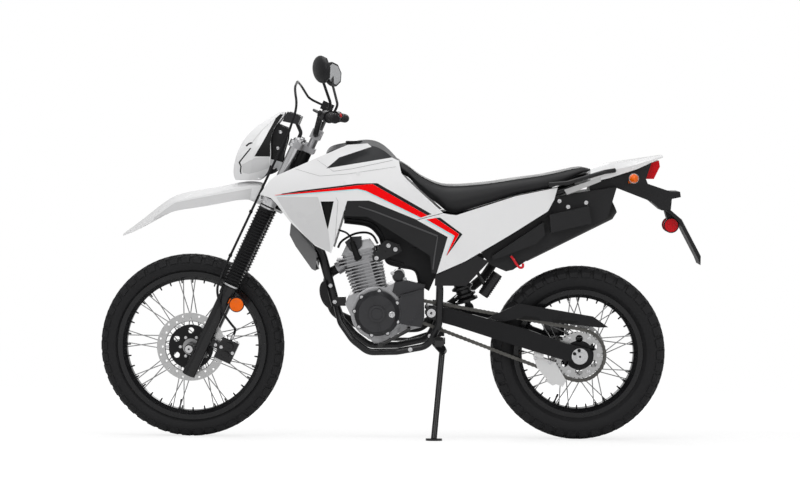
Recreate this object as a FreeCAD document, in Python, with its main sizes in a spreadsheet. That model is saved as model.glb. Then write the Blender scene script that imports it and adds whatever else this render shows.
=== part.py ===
import FreeCAD, Part
import math
import os
import types
import Sketcher
from FreeCAD import Placement, Rotation, Vector

# Dual sport motorcycle, millimetres.
# It is drawn upright: X forward, Y to the rider's left, Z up from the ground, X = 0 midway between the axles.
# Every piece is then leaned over together onto the side stand.

doc = FreeCAD.newDocument("DualSportMotorcycle")
sheet = doc.addObject("Spreadsheet::Sheet", "Sizes")

SIZES = {
    # stance
    "wheelbase": 1450.0,
    "lean_angle": 8.0,
    "origin_forward": 51.75,
    "origin_left": -190.45,
    "running_gap": 6.0,
    "tyre_room": 20.0,
    "seat_gap": 0.3,
    # steering head and fork
    "rake": 25.0,
    "clamp_offset": 35.0,
    "axle_lead": 38.0,
    "leg_spread": 97.0,
    "leg_radius": 25.0,
    "leg_below_axle": 92.0,
    "leg_top": 275.0,
    "boot_radius": 32.0,
    "boot_root_radius": 27.0,
    "boot_folds": 27.0,
    "tube_radius": 18.5,
    "lower_clamp_base": 603.0,
    "lower_clamp_height": 38.0,
    "upper_clamp_base": 842.0,
    "upper_clamp_height": 26.0,
    "stem_radius": 13.0,
    "head_tube_radius": 26.0,
    # wheels
    "front_tyre_radius": 345.5,
    "front_tyre_width": 92.0,
    "rear_tyre_radius": 328.0,
    "rear_tyre_width": 118.0,
    "tread_depth": 9.0,
    "tyre_wall": 9.0,
    "lug_count": 46.0,
    "lug_gap": 6.0,
    "lug_inset": 17.0,
    "crown_radius": 46.0,
    "crown_span": 15.0,
    "front_bead_radius": 268.0,
    "front_rim_width": 56.0,
    "rear_bead_radius": 230.0,
    "rear_rim_width": 72.0,
    "rim_lip": 12.0,
    "rim_depth": 20.0,
    "spoke_count": 36.0,
    "spoke_radius": 1.9,
    "front_flange_radius": 38.0,
    "rear_flange_radius": 62.0,
    "front_hub_width": 62.0,
    "rear_hub_width": 78.0,
    "hub_barrel_radius": 24.0,
    "front_disc_radius": 128.0,
    "front_disc_ring": 32.0,
    "rear_disc_radius": 110.0,
    "rear_disc_ring": 28.0,
    "disc_thickness": 4.0,
    "front_disc_side": 56.0,
    "rear_disc_side": 62.0,
    "axle_radius": 8.0,
    "axle_bore_radius": 4.0,
    # chain drive
    "chain_pitch": 15.875,
    "rear_teeth": 38.0,
    "front_teeth": 14.0,
    "chain_line": 70.0,
    "chain_plate_height": 14.0,
    "chain_inside": 7.6,
    "chain_plate": 2.6,
    "roller_radius": 5.0,
    "sprocket_thickness": 5.6,
    # handlebar
    "bar_radius": 11.0,
    "bar_half_width": 400.0,
    "grip_radius": 16.0,
    "grip_length": 118.0,
    # engine
    "cylinder_lean": 15.5,
    "crank_forward": 34.0,
    "crank_height": 481.0,
    "case_half_width": 78.0,
    "generator_radius": 85.0,
    "generator_depth": 34.0,
    "fin_count": 9.0,
    "fin_pitch": 12.0,
    "fin_thickness": 4.0,
    "fin_width": 132.0,
    "fin_length": 128.0,
    "barrel_radius": 44.0,
    "fin_start": 84.0,
    # frame
    "frame_tube_radius": 12.5,
    "down_tube_radius": 17.0,
    "cradle_spread": 96.0,
    "rear_tube_radius": 11.0,
    "pivot_forward": -173.0,
    "pivot_height": 487.0,
    "pivot_radius": 9.0,
    # running gear
    "swingarm_spread": 92.5,
    "swingarm_tube": 21.0,
    # stand
    "stand_pivot_x": -215.0,
    "stand_pivot_y": 118.0,
    "stand_pivot_z": 350.0,
    "stand_foot_x": -185.0,
    "stand_foot_y": 258.0,
    "stand_radius": 11.0,
    "stand_foot_radius": 30.0,
    "stand_foot_thickness": 8.0,
    "stand_pin_radius": 6.0,
    "stand_eye_width": 14.0,
    "stand_side_gap": 0.4,
}

for row, (alias, value) in enumerate(SIZES.items(), start=1):
    sheet.set(f"A{row}", alias)
    sheet.set(f"B{row}", str(value))
    sheet.setAlias(f"B{row}", alias)
doc.recompute()


def formula_of(value):
    """What a number reads like in a formula over the sheet."""
    return value.formula if isinstance(value, Size) else f"({float(value):.12g})"


class Size(float):
    """A number that keeps the formula over the sheet's cells that it comes from."""

    def __new__(cls, value, formula):
        size = super().__new__(cls, value)
        size.formula = formula
        return size

    def joined_to(self, other, sign, value, turned_round=False):
        if not isinstance(other, (int, float)):
            return NotImplemented
        parts = (formula_of(other), self.formula) if turned_round else (self.formula, formula_of(other))
        return Size(value(float(self), float(other)), f"({parts[0]} {sign} {parts[1]})")

    def __add__(self, other):
        return self.joined_to(other, "+", lambda a, b: a + b)

    def __radd__(self, other):
        return self.joined_to(other, "+", lambda a, b: b + a, True)

    def __sub__(self, other):
        return self.joined_to(other, "-", lambda a, b: a - b)

    def __rsub__(self, other):
        return self.joined_to(other, "-", lambda a, b: b - a, True)

    def __mul__(self, other):
        return self.joined_to(other, "*", lambda a, b: a * b)

    def __rmul__(self, other):
        return self.joined_to(other, "*", lambda a, b: b * a, True)

    def __truediv__(self, other):
        return self.joined_to(other, "/", lambda a, b: a / b)

    def __neg__(self):
        return Size(-float(self), f"(0 - {self.formula})")


S = types.SimpleNamespace(**{alias: Size(float(sheet.get(alias)), f"Sizes.{alias}") for alias in SIZES})

UP = Vector(0, 0, 1)
ACROSS = Vector(0, 1, 0)
ORIGIN = Vector()
RAKE = math.radians(S.rake)
FRONT_X = S.wheelbase / 2
REAR_X = -S.wheelbase / 2
PIVOT_X = S.pivot_forward
CROWN_LIFT = S.crown_radius * (1 - math.cos(math.radians(S.lean_angle)))
LEAN = Placement(
    Vector(S.origin_forward, S.origin_left, CROWN_LIFT),
    Rotation(Vector(1, 0, 0), -S.lean_angle),
)
FORK_OFFSET = S.clamp_offset + S.axle_lead
STEER = Placement(
    Vector(
        FRONT_X - FORK_OFFSET * math.cos(RAKE),
        0,
        S.front_tyre_radius - FORK_OFFSET * math.sin(RAKE),
    ),
    Rotation(ACROSS, -S.rake),
)
# The outlines of the pieces carried by the fork are drawn with the steering axis meeting the wheel's level here.
DRAWN_HEAD = Vector(658.84, 0, 314.65)
HEAD_MOVE = Placement(STEER.Base - DRAWN_HEAD, Rotation())
NODES = []


# building blocks


def node(obj, name, place=None):
    """Give a finished piece its name and lean it over."""
    obj.Label = name
    obj.Placement = LEAN.multiply(place) if place else LEAN
    NODES.append(obj)
    return obj


def bind(obj, **values):
    """Set properties; a value that comes from the sheet is bound to its cells."""
    for name, value in values.items():
        setattr(obj, name, float(value))
        if isinstance(value, Size):
            obj.setExpression(name, value.formula)


def put(obj, spot, turn=None):
    """Stand a primitive at a spot (x, y, z), bound where a coordinate comes from the sheet."""
    obj.Placement = Placement(Vector(*spot), turn or Rotation())
    for axis, value in zip("xyz", spot):
        if isinstance(value, Size):
            obj.setExpression(f"Placement.Base.{axis}", value.formula)
    return obj


def round_bar(radius, length, spot=ORIGIN, way=UP):
    """Cylinder from a spot along a way."""
    made = doc.addObject("Part::Cylinder", "bar")
    bind(made, Radius=radius, Height=length)
    return put(made, spot, Rotation(UP, Vector(*way)))


def taper(radius, far_radius, length, spot=ORIGIN, way=UP):
    made = doc.addObject("Part::Cone", "taper")
    bind(made, Radius1=radius, Radius2=far_radius, Height=length)
    return put(made, spot, Rotation(UP, Vector(*way)))


def block(length, width, height, spot=ORIGIN):
    """Box with its low corner at a spot."""
    made = doc.addObject("Part::Box", "block")
    bind(made, Length=length, Width=width, Height=height)
    return put(made, spot)


def rod(start, end, radius):
    """Cylinder between two points."""
    run = Vector(*end) - Vector(*start)
    return round_bar(radius, run.Length, start, run)


def shaped(shape):
    """Piece whose shape is worked out in Python, where no primitive or sketch gives it."""
    made = doc.addObject("Part::Feature", "shape")
    made.Shape = shape
    return made


def joined(*pieces, merged=True):
    """Pieces fused into one; merged makes one face of faces that lie on one surface."""
    made = doc.addObject("Part::MultiFuse", "joined")
    made.Shapes = list(pieces)
    made.Refine = merged
    return made


def grouped(*pieces):
    """Pieces kept as separate solids."""
    made = doc.addObject("Part::Compound", "group")
    made.Links = list(pieces)
    return made


def cut(piece, *tools):
    made = doc.addObject("Part::Cut", "cut")
    made.Base = piece
    made.Tool = tools[0] if len(tools) == 1 else grouped(*tools)
    made.Refine = False
    return made


def common(piece, other):
    made = doc.addObject("Part::Common", "common")
    made.Base = piece
    made.Tool = other
    return made


def mirrored(piece):
    """The same piece on the right."""
    made = doc.addObject("Part::Mirroring", "mirrored")
    made.Source = piece
    made.Base = ORIGIN
    made.Normal = ACROSS
    return made


def both_sides(piece):
    return grouped(piece, mirrored(piece))


def moved(piece, place):
    """A group that holds one piece at another place."""
    made = grouped(piece)
    made.Placement = place
    return made


def new_body(name="body"):
    return doc.addObject("PartDesign::Body", name)


def sketch(body, role, lift=0.0):
    """Empty sketch on an origin plane of the body, moved along the plane's normal."""
    made = body.newObject("Sketcher::SketchObject", "outline")
    plane = next(f for f in body.Origin.OriginFeatures if f.Role == role)
    made.AttachmentSupport = [(plane, "")]
    made.MapMode = "FlatFace"
    made.AttachmentOffset = Placement(Vector(0, 0, lift), Rotation())
    if isinstance(lift, Size):
        made.setExpression("AttachmentOffset.Base.z", lift.formula)
    return made


def draw_outline(target, points):
    """Closed outline of (x, y) points, each held by its two distances from the origin.

    A point that carries three more values is reached by an arc: through the first two, with the third as radius.
    """
    first = target.GeometryCount
    here = Vector(*points[-1][:2], 0)
    for point in points:
        there = Vector(*point[:2], 0)
        if len(point) == 5:
            edge = Part.Arc(here, Vector(*point[2:4], 0), there)
        else:
            edge = Part.LineSegment(here, there)
        target.addGeometry(edge, False)
        here = there
    ends = []
    for i in range(len(points)):
        starts_well = (target.getPoint(first + i, 1) - Vector(*points[i - 1][:2], 0)).Length < 1e-6
        ends.append((1, 2) if starts_well else (2, 1))
    held = []
    for i, point in enumerate(points):
        after = (i + 1) % len(points)
        held.append(("Coincident", None, (first + i, ends[i][1], first + after, ends[after][0])))
        held.append(("DistanceX", point[0], (-1, 1, first + i, ends[i][1])))
        held.append(("DistanceY", point[1], (-1, 1, first + i, ends[i][1])))
        if len(point) == 5:
            held.append(("Radius", point[4], (first + i,)))
    hold(target, held)


def hold(target, held):
    """Add constraints (kind, value, geometry) to a sketch and bind their values."""
    made = []
    for kind, value, where in held:
        amount = () if value is None else (float(value),)
        made.append(Sketcher.Constraint(kind, *where, *amount))
    indices = target.addConstraint(made)
    for index, (kind, value, where) in zip(indices, held):
        if isinstance(value, Size):
            target.setExpression(f"Constraints[{index}]", value.formula)


def draw_circle(target, x, y, radius):
    index = target.addGeometry(Part.Circle(Vector(x, y, 0), UP, radius), False)
    held = [("Radius", radius, (index,))]
    if x or y:
        held.append(("DistanceX", x, (-1, 1, index, 3)))
        held.append(("DistanceY", y, (-1, 1, index, 3)))
    else:
        held.append(("Coincident", None, (index, 3, -1, 1)))
    hold(target, held)


def pad(body, profile, length, both_ways=False):
    made = body.newObject("PartDesign::Pad", "pad")
    made.Profile = profile
    made.Midplane = both_ways
    bind(made, Length=length)
    return made


def pocket(body, profile, length):
    """Cut the profile out, half the length to each side of its plane."""
    made = body.newObject("PartDesign::Pocket", "pocket")
    made.Profile = profile
    made.Midplane = True
    bind(made, Length=length)
    return made


def repeated(body, feature, count):
    """The feature repeated evenly round the body's own Z."""
    made = body.newObject("PartDesign::PolarPattern", "ring")
    made.Originals = [feature]
    made.Axis = (next(f for f in body.Origin.OriginFeatures if f.Role == "Z_Axis"), [""])
    made.Angle = 360
    made.Occurrences = int(count)
    if isinstance(count, Size):
        made.setExpression("Occurrences", count.formula)
    body.Tip = made
    return made


def turned(outline):
    """Body turned about its own Z from (radius, height) points."""
    body = new_body()
    profile = sketch(body, "XZ_Plane")
    draw_outline(profile, outline)
    made = body.newObject("PartDesign::Revolution", "turn")
    made.Profile = profile
    made.ReferenceAxis = (profile, ["V_Axis"])
    made.Angle = 360
    return body


def prism(outline, y_from, y_to):
    """Body padded from an (x, z) outline between two y planes."""
    body = new_body()
    profile = sketch(body, "XZ_Plane", -y_to)
    draw_outline(profile, outline)
    pad(body, profile, y_to - y_from)
    return body


def lofted(role, sections, ruled=False):
    """Body through outlines, each a lift of the plane with its (x, y) points."""
    body = new_body()
    outlines = []
    for lift, points in sections:
        outline = sketch(body, role, lift)
        draw_outline(outline, points)
        outlines.append(outline)
    made = body.newObject("PartDesign::AdditiveLoft", "loft")
    made.Profile = outlines[0]
    made.Sections = outlines[1:]
    made.Ruled = ruled
    return body


def loft(sections, ruled=False):
    """Solid through closed polygon sections in space, each a list of points."""
    wires = [Part.makePolygon([Vector(*p) for p in s] + [Vector(*s[0])]) for s in sections]
    return shaped(Part.makeLoft(wires, True, ruled))


def bent_path(points, bend):
    """Straight runs joined by tangent arcs of radius bend, or less where a run is short."""
    edges = []
    here = points[0]
    for before, corner, after in zip(points, points[1:], points[2:]):
        back = (before - corner).normalize()
        ahead = (after - corner).normalize()
        half = back.getAngle(ahead) / 2
        room = 0.45 * min((before - corner).Length, (after - corner).Length)
        trim = min(bend / math.tan(half), room)
        radius = trim * math.tan(half)
        start = corner + back * trim
        end = corner + ahead * trim
        centre = corner + (back + ahead).normalize() * (radius / math.sin(half))
        middle = centre + (corner - centre).normalize() * radius
        edges.append(Part.LineSegment(here, start).toShape())
        edges.append(Part.Arc(start, middle, end).toShape())
        here = end
    edges.append(Part.LineSegment(here, points[-1]).toShape())
    return Part.Wire(edges)


def bent_tube(points, radius, bend, bore=None):
    """Round tube swept along a bent path, hollow where a bore is given."""
    points = [Vector(*p) for p in points]
    path = shaped(bent_path(points, bend))

    def swept(section_radius):
        ring = doc.addObject("Part::Circle", "ring")
        bind(ring, Radius=section_radius)
        ring.Placement = Placement(points[0], Rotation(UP, points[1] - points[0]))
        made = doc.addObject("Part::Sweep", "tube")
        made.Sections = [ring]
        made.Spine = (path, [])
        made.Solid = True
        return made

    tube = swept(radius)
    return cut(tube, swept(bore)) if bore else tube


def turn_to_y(side=0.0, x=0.0, z=0.0):
    """Placement that lays a body's own Z along Y, pointing left."""
    return Placement(Vector(x, side, z), Rotation(Vector(1, 0, 0), -90))


def round_spots(count, radius, share=0.0):
    """Points (x, y) evenly round a circle, turned by a share of one step."""
    angles = [2 * math.pi * (i + share) / count for i in range(count)]
    return [(radius * math.cos(a), radius * math.sin(a)) for a in angles]


# wheels


def tyre_outline(radius, width, bead, rim_width):
    """Section of a tyre on its rim as (radius, side), with its air space open to the rim."""
    half = width / 2
    foot = rim_width / 2 - 1.3
    wall = S.tyre_wall
    deep = radius - bead
    outer = [
        (bead + S.seat_gap, -foot),
        (bead + S.rim_lip + 1.0, -foot),
        (bead + 0.40 * deep, -half * 0.93),
        (bead + 0.58 * deep, -half * 0.99),
        (bead + 0.74 * deep, -half * 0.98),
        (bead + 0.90 * deep, -half * 0.72),
    ]
    span = math.radians(S.crown_span)
    crown_side = S.crown_radius * math.sin(span)
    crown_edge = radius - S.crown_radius * (1 - math.cos(span))
    crown = [(crown_edge, -crown_side), (crown_edge, crown_side, radius, 0.0, S.crown_radius)]
    inner = [
        (radius - wall - S.tread_depth, 0.0),
        (bead + 0.60 * deep - wall, -half + wall),
        (bead + S.seat_gap, -foot + wall),
    ]
    left = [(r, -s) for r, s in reversed(outer)]
    inner_left = [(r, -s) for r, s in reversed(inner[1:])]
    return outer + crown + left + inner_left + inner


def shoulder_gap(radius, width, bead, side):
    """Section of the gap between two shoulder lugs, as deep as the tread, open past the shoulder."""
    deep = radius - bead
    floor = radius - S.tread_depth
    shoulder = width / 2
    return [
        (floor, side * S.lug_inset),
        (radius + 4.0, side * S.lug_inset),
        (radius + 4.0, side * (shoulder + 6.0)),
        (bead + 0.70 * deep, side * (shoulder + 6.0)),
        (bead + 0.70 * deep, side * (shoulder - 3.0)),
        (bead + 0.86 * deep - 0.5 * S.tread_depth, side * 0.72 * shoulder),
    ]


def tyre(radius, width, bead, rim_width):
    """Tyre turned from its section, with gaps cut between its shoulder lugs."""
    body = turned(tyre_outline(radius, width, bead, rim_width))
    gaps = sketch(body, "XZ_Plane")
    draw_outline(gaps, shoulder_gap(radius, width, bead, 1.0))
    draw_outline(gaps, shoulder_gap(radius, width, bead, -1.0))
    repeated(body, pocket(body, gaps, S.lug_gap), S.lug_count)
    return body


def rim_outline(bead, rim_width):
    """Section of the rim: lip, bead seat and drop centre."""
    half = rim_width / 2
    well = bead - S.rim_depth
    right = [
        (well, -half * 0.45),
        (bead - 6.0, -half - 1.5),
        (bead + S.rim_lip, -half - 3.0),
        (bead + S.rim_lip, -half + 0.0),
        (bead, -half + 1.0),
        (bead, -half * 0.72),
        (well + 4.0, -half * 0.35),
    ]
    left = [(r, -s) for r, s in reversed(right)]
    return right + left


def hub_outline(flange_radius, hub_width, bore):
    """Section of the hub: barrel between two spoke flanges."""
    half = hub_width / 2
    flange = 7.0
    barrel = S.hub_barrel_radius
    right = [
        (bore, -half - 6.0),
        (barrel, -half - 6.0),
        (barrel + 4.0, -half),
        (flange_radius, -half),
        (flange_radius, -half + flange),
        (barrel, -half + flange + 6.0),
    ]
    left = [(r, -s) for r, s in reversed(right)]
    return right + left


def spoke_set(flange_radius, hub_width, rim_radius):
    """Crossed spokes from both hub flanges to the middle of the rim."""
    per_side = int(S.spoke_count) // 2
    step = 2 * math.pi / per_side
    crossing = math.radians(60.0)
    foot = flange_radius - 4
    out = hub_width / 2 - 3.5
    spokes = []
    for side in (-1, 1):
        for i in range(per_side):
            hub_angle = i * step + (step / 2 if side > 0 else 0.0)
            rim_angle = hub_angle + (crossing if i % 2 else -crossing)
            start = (foot * math.cos(hub_angle), foot * math.sin(hub_angle), side * out)
            end = (rim_radius * math.cos(rim_angle), rim_radius * math.sin(rim_angle), side * 6.0)
            spokes.append(rod(start, end, S.spoke_radius))
    return spokes


def wheel(prefix, x, radius, width, bead, rim_width, flange_radius, hub_width):
    """Tyre, and rim with spokes and hub, as two nodes."""
    place = turn_to_y(0.0, x, radius)
    node(tyre(radius, width, bead, rim_width), prefix + "_tyre", place)
    rim = turned(rim_outline(bead, rim_width))
    hub = turned(hub_outline(flange_radius, hub_width, S.axle_radius + S.seat_gap))
    spokes = spoke_set(flange_radius, hub_width, bead - S.rim_depth + 3.0)
    node(joined(rim, hub, *spokes), prefix + "_rim", place)


def disc(name, radius, ring, side, x, z, hub_width):
    """Brake disc: drilled ring on arms of a carrier bolted to the hub."""
    inner = radius - ring
    half = S.disc_thickness / 2
    low = (0, 0, -half)
    plate = new_body()
    rim = sketch(plate, "XY_Plane")
    draw_circle(rim, 0, 0, radius)
    draw_circle(rim, 0, 0, inner)
    pad(plate, rim, S.disc_thickness, True)
    drilled = sketch(plate, "XY_Plane")
    step = math.radians(15.0)
    draw_circle(drilled, radius - ring * 0.68, 0, 4.0)
    reach = radius - ring * 0.32
    draw_circle(drilled, reach * math.cos(step), reach * math.sin(step), 4.0)
    repeated(plate, pocket(plate, drilled, 20.0), 12)
    carrier = round_bar(inner - 12, S.disc_thickness, low)
    windows = [round_bar(11.0, 20, (u, v, -10)) for u, v in round_spots(6, inner - 34, 0.5)]
    arms = [
        rod((*foot, 0), (*tip, 0), 1.8)
        for foot, tip in zip(round_spots(6, inner - 16), round_spots(6, inner + 6))
    ]
    inward = -1.0 if side > 0 else 1.0
    boss_depth = -inward * side - hub_width / 2 - 6.0 - S.seat_gap
    boss = round_bar(S.hub_barrel_radius + 3, boss_depth, ORIGIN, (0, 0, inward))
    whole = joined(plate, cut(carrier, *windows), boss, *arms)
    bored = cut(whole, round_bar(S.axle_radius + 10, 200, (0, 0, -100)))
    return node(bored, name, turn_to_y(side, x, z))


wheel(
    "front", FRONT_X, S.front_tyre_radius, S.front_tyre_width, S.front_bead_radius, S.front_rim_width,
    S.front_flange_radius, S.front_hub_width,
)
wheel(
    "rear", REAR_X, S.rear_tyre_radius, S.rear_tyre_width, S.rear_bead_radius, S.rear_rim_width,
    S.rear_flange_radius, S.rear_hub_width,
)
disc(
    "front_disc", S.front_disc_radius, S.front_disc_ring, S.front_disc_side, FRONT_X, S.front_tyre_radius,
    S.front_hub_width,
)
disc(
    "rear_disc", S.rear_disc_radius, S.rear_disc_ring, -S.rear_disc_side, REAR_X, S.rear_tyre_radius,
    S.rear_hub_width,
)


# chain drive

REAR_PITCH_RADIUS = S.chain_pitch / (2 * math.sin(math.pi / S.rear_teeth))
FRONT_PITCH_RADIUS = S.chain_pitch / (2 * math.sin(math.pi / S.front_teeth))
DRIVE_X = PIVOT_X + 75.0
DRIVE_Z = S.pivot_height + 12.0


def sprocket():
    """Rear sprocket: plate with teeth that end just inside the chain's rollers, on a bolted boss."""
    tip = REAR_PITCH_RADIUS - S.roller_radius - 0.6
    root = tip - 7.0
    pitch = 2 * math.pi / S.rear_teeth
    body = new_body()
    blank = sketch(body, "XY_Plane")
    draw_circle(blank, 0, 0, root)
    pad(body, blank, S.sprocket_thickness, True)
    tooth = sketch(body, "XY_Plane")
    foot = 0.38 * pitch * root
    head = 0.14 * pitch * tip
    draw_outline(tooth, [(root - 1.0, -foot), (tip, -head), (tip, head), (root - 1.0, foot)])
    repeated(body, pad(body, tooth, S.sprocket_thickness, True), S.rear_teeth)
    windows = sketch(body, "XY_Plane")
    draw_circle(windows, 62 * math.cos(math.pi / 6), 31.0, 14.0)
    repeated(body, pocket(body, windows, 40.0), 6)
    depth = S.chain_line - S.rear_hub_width / 2 - 6.0 - S.seat_gap
    boss = round_bar(44.0, depth, ORIGIN, (0, 0, -1))
    bored = cut(joined(body, boss), round_bar(S.axle_radius + 12, 200, (0, 0, -100)))
    return node(bored, "rear_sprocket", turn_to_y(S.chain_line, REAR_X, S.rear_tyre_radius))


def chain_loop(grow):
    """Closed (x, z) path round both sprockets at the pitch circles grown by grow, as a wire."""
    front = Vector(DRIVE_X, 0, DRIVE_Z)
    rear = Vector(REAR_X, 0, S.rear_tyre_radius)
    big = REAR_PITCH_RADIUS + grow
    small = FRONT_PITCH_RADIUS + grow
    run = front - rear
    heading = math.atan2(run.z, run.x)
    spread = math.acos((REAR_PITCH_RADIUS - FRONT_PITCH_RADIUS) / run.Length)

    def at(centre, radius, angle):
        return centre + Vector(radius * math.cos(angle), 0, radius * math.sin(angle))

    top_rear = at(rear, big, heading + spread)
    top_front = at(front, small, heading + spread)
    low_rear = at(rear, big, heading - spread)
    low_front = at(front, small, heading - spread)
    edges = [
        Part.LineSegment(top_rear, top_front).toShape(),
        Part.Arc(top_front, at(front, small, heading), low_front).toShape(),
        Part.LineSegment(low_front, low_rear).toShape(),
        Part.Arc(low_rear, at(rear, big, heading + math.pi), top_rear).toShape(),
    ]
    return Part.Wire(edges)


def chain():
    """Drive chain as one fixed loop: two rows of side plates, with rollers between them."""
    half = S.chain_plate_height / 2
    band = Part.Face(chain_loop(half)).cut(Part.Face(chain_loop(-half)))
    rows = []
    for side in (-1, 1):
        row = band.extrude(Vector(0, S.chain_plate, 0))
        offset = S.chain_line + side * (S.chain_inside / 2 + S.chain_plate / 2) - S.chain_plate / 2
        row.translate(Vector(0, offset, 0))
        rows.append(shaped(row))
    path = chain_loop(0.0)
    count = int(round(path.Length / S.chain_pitch))
    low = S.chain_line - S.chain_inside / 2 - 1.0
    rollers = [
        round_bar(S.roller_radius - 0.5, S.chain_inside + 2.0, (point.x, low, point.z), ACROSS)
        for point in path.discretize(Number=count + 1)[:-1]
    ]
    return node(joined(*rows, *rollers), "chain")


sprocket()
chain()


# fork and steering

BAR_U = -12.0
BAR_SPREAD = 42.0
BAR_W = S.upper_clamp_base + S.upper_clamp_height + 50.0


def both_legs(piece):
    """A piece drawn for the left leg, in the steering frame, on both legs."""
    return both_sides(moved(piece, Placement(Vector(S.clamp_offset, S.leg_spread, 0), Rotation())))


def fork_legs():
    """Lower legs with the axle lugs that lead them."""
    leg = round_bar(S.leg_radius, S.leg_top + S.leg_below_axle, (0, 0, -S.leg_below_axle))
    collar = round_bar(S.leg_radius + 3.5, 30, (0, 0, S.leg_top - 34))
    lug = round_bar(17.0, 40, (S.axle_lead, -20, 0), ACROSS)
    web = block(S.axle_lead, 36, 30, (0, -18, -15))
    bore = round_bar(S.axle_radius + S.seat_gap / 3, 80, (S.axle_lead, -40, 0), ACROSS)
    return node(both_legs(cut(joined(leg, collar, lug, web), bore)), "fork_legs", STEER)


def fork_boots():
    """Ribbed rubber boots between the lower clamp and the legs."""
    foot = S.leg_top + S.seat_gap
    top = S.lower_clamp_base - S.seat_gap
    folds = int(S.boot_folds)
    step = (top - foot - 16.0) / folds
    bore = S.tube_radius + S.seat_gap
    outline = [(bore, foot), (S.boot_root_radius + 3, foot), (S.boot_root_radius + 3, foot + 8.0)]
    for i in range(folds):
        base = foot + 8.0 + i * step
        outline.append((S.boot_root_radius, base + 0.2 * step))
        outline.append((S.boot_radius, base + 0.5 * step))
        outline.append((S.boot_root_radius, base + 0.8 * step))
    outline += [(S.boot_root_radius, top - 8.0), (S.boot_root_radius, top), (bore, top)]
    return node(both_legs(turned(outline)), "fork_boots", STEER)


def fork_tubes():
    """Upper fork tubes, from the legs to just above the upper clamp."""
    base = S.leg_top + S.seat_gap
    top = S.upper_clamp_base + S.upper_clamp_height + 6.0
    return node(both_legs(round_bar(S.tube_radius, top - base, (0, 0, base))), "fork_tubes", STEER)


def clamp(base, height, *extra):
    """Fork clamp: two eyes on the tubes joined by a bridge that holds the stem."""
    leg = (S.clamp_offset, S.leg_spread, base)
    eye = round_bar(S.tube_radius + 9.0, height, leg)
    bridge = block(34, 2 * S.leg_spread, height - 8, (S.clamp_offset - 17, -S.leg_spread, base + 4))
    centre = round_bar(28.0, height, (0, 0, base))
    neck = block(S.clamp_offset, 44, height - 4, (0, -22, base + 2))
    bore = round_bar(S.tube_radius + S.seat_gap / 3, height + 20, (S.clamp_offset, S.leg_spread, base - 10))
    return cut(joined(eye, mirrored(eye), bridge, centre, neck, *extra), both_sides(bore))


def lower_clamp():
    """Lower clamp with the steering stem."""
    top = S.lower_clamp_base + S.lower_clamp_height
    stem = round_bar(S.stem_radius, S.upper_clamp_base - top + 4.0, (0, 0, top - 4.0))
    return node(clamp(S.lower_clamp_base, S.lower_clamp_height, stem), "lower_clamp", STEER)


def upper_clamp():
    """Upper clamp with the two risers and blocks that hold the handlebar."""
    top = S.upper_clamp_base + S.upper_clamp_height
    riser = round_bar(13.0, 40.0, (BAR_U, BAR_SPREAD, top - 4.0))
    seat_block = block(38, 30, 36, (BAR_U - 19, BAR_SPREAD - 15, top + 32))
    shelf_at = (BAR_U - 20, -BAR_SPREAD - 16, S.upper_clamp_base + 3)
    shelf = block(62, 2 * BAR_SPREAD + 32, S.upper_clamp_height - 6, shelf_at)
    pieces = [riser, mirrored(riser), seat_block, mirrored(seat_block), shelf]
    whole = clamp(S.upper_clamp_base, S.upper_clamp_height, *pieces)
    bar_seat = round_bar(S.bar_radius + S.seat_gap / 3, 400, (BAR_U, -200, BAR_W), ACROSS)
    return node(cut(whole, bar_seat), "upper_clamp", STEER)


def bar_points():
    """Handlebar centre line in the steering frame, from the right end to the left end."""
    centre = Vector(BAR_U, 0, BAR_W)
    half = [
        centre + Vector(0, 75, 0),
        centre + Vector(8, 190, 78),
        centre + Vector(-57, S.bar_half_width, 92),
    ]
    return [Vector(p.x, -p.y, p.z) for p in reversed(half)] + half


def handlebar():
    """Bar with its brace."""
    bar = bent_tube(bar_points(), S.bar_radius, 60.0)
    brace_left = (BAR_U + 6, 158, BAR_W + 56)
    brace_right = (BAR_U + 6, -158, BAR_W + 56)
    return node(joined(bar, rod(brace_right, brace_left, 6.5)), "handlebar", STEER)


# The left end of the bar, and the way along it towards the middle.
BAR_END = bar_points()[-1]
BAR_INWARD = (bar_points()[-2] - BAR_END).normalize()
GRIP_SHARE = S.grip_length * 0.8


def on_bar(way_in):
    """Point on the left end's straight run, a way in from the tip."""
    return BAR_END + BAR_INWARD * way_in


def bar_room(length=400.0, middle=0.0):
    """Space of the bar's left end, for cutting a sleeve's bore."""
    return round_bar(S.bar_radius + 0.05, length, on_bar(middle - length / 2), BAR_INWARD)


def sleeve(way_in, length, radius):
    return cut(round_bar(radius, length, on_bar(way_in), BAR_INWARD), bar_room())


def grips():
    """Rubber grips with their inner flanges."""
    grip = sleeve(2.0, GRIP_SHARE, S.grip_radius)
    flange = sleeve(2.0 + S.grip_length * 0.74, 5.0, S.grip_radius + 6)
    return node(both_sides(joined(grip, flange)), "grips", STEER)


def front_axle():
    """Hollow axle through the legs, with a head at each end."""
    half = S.leg_spread + 24.0
    axle = round_bar(S.axle_radius, 2 * half, (0, 0, -half))
    head = round_bar(S.axle_radius + 6, 8.0, (0, 0, half - 4.0))
    head_low = round_bar(S.axle_radius + 6, 8.0, (0, 0, -half - 4.0))
    bore = round_bar(S.axle_bore_radius, 2 * half + 20, (0, 0, -half - 10))
    return node(cut(joined(axle, head, head_low), bore), "front_axle", turn_to_y(0, FRONT_X, S.front_tyre_radius))


def disc_space(radius, side, x, z):
    """Room that a turning disc needs inside its calliper."""
    half = S.disc_thickness / 2 + S.running_gap
    return round_bar(radius + S.running_gap, 2 * half, (x, side - half, z), ACROSS)


def leg_space(base):
    """Room of the left leg for the pieces clamped to it."""
    return round_bar(S.leg_radius + S.seat_gap, 400, (S.clamp_offset, S.leg_spread, base))


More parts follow.
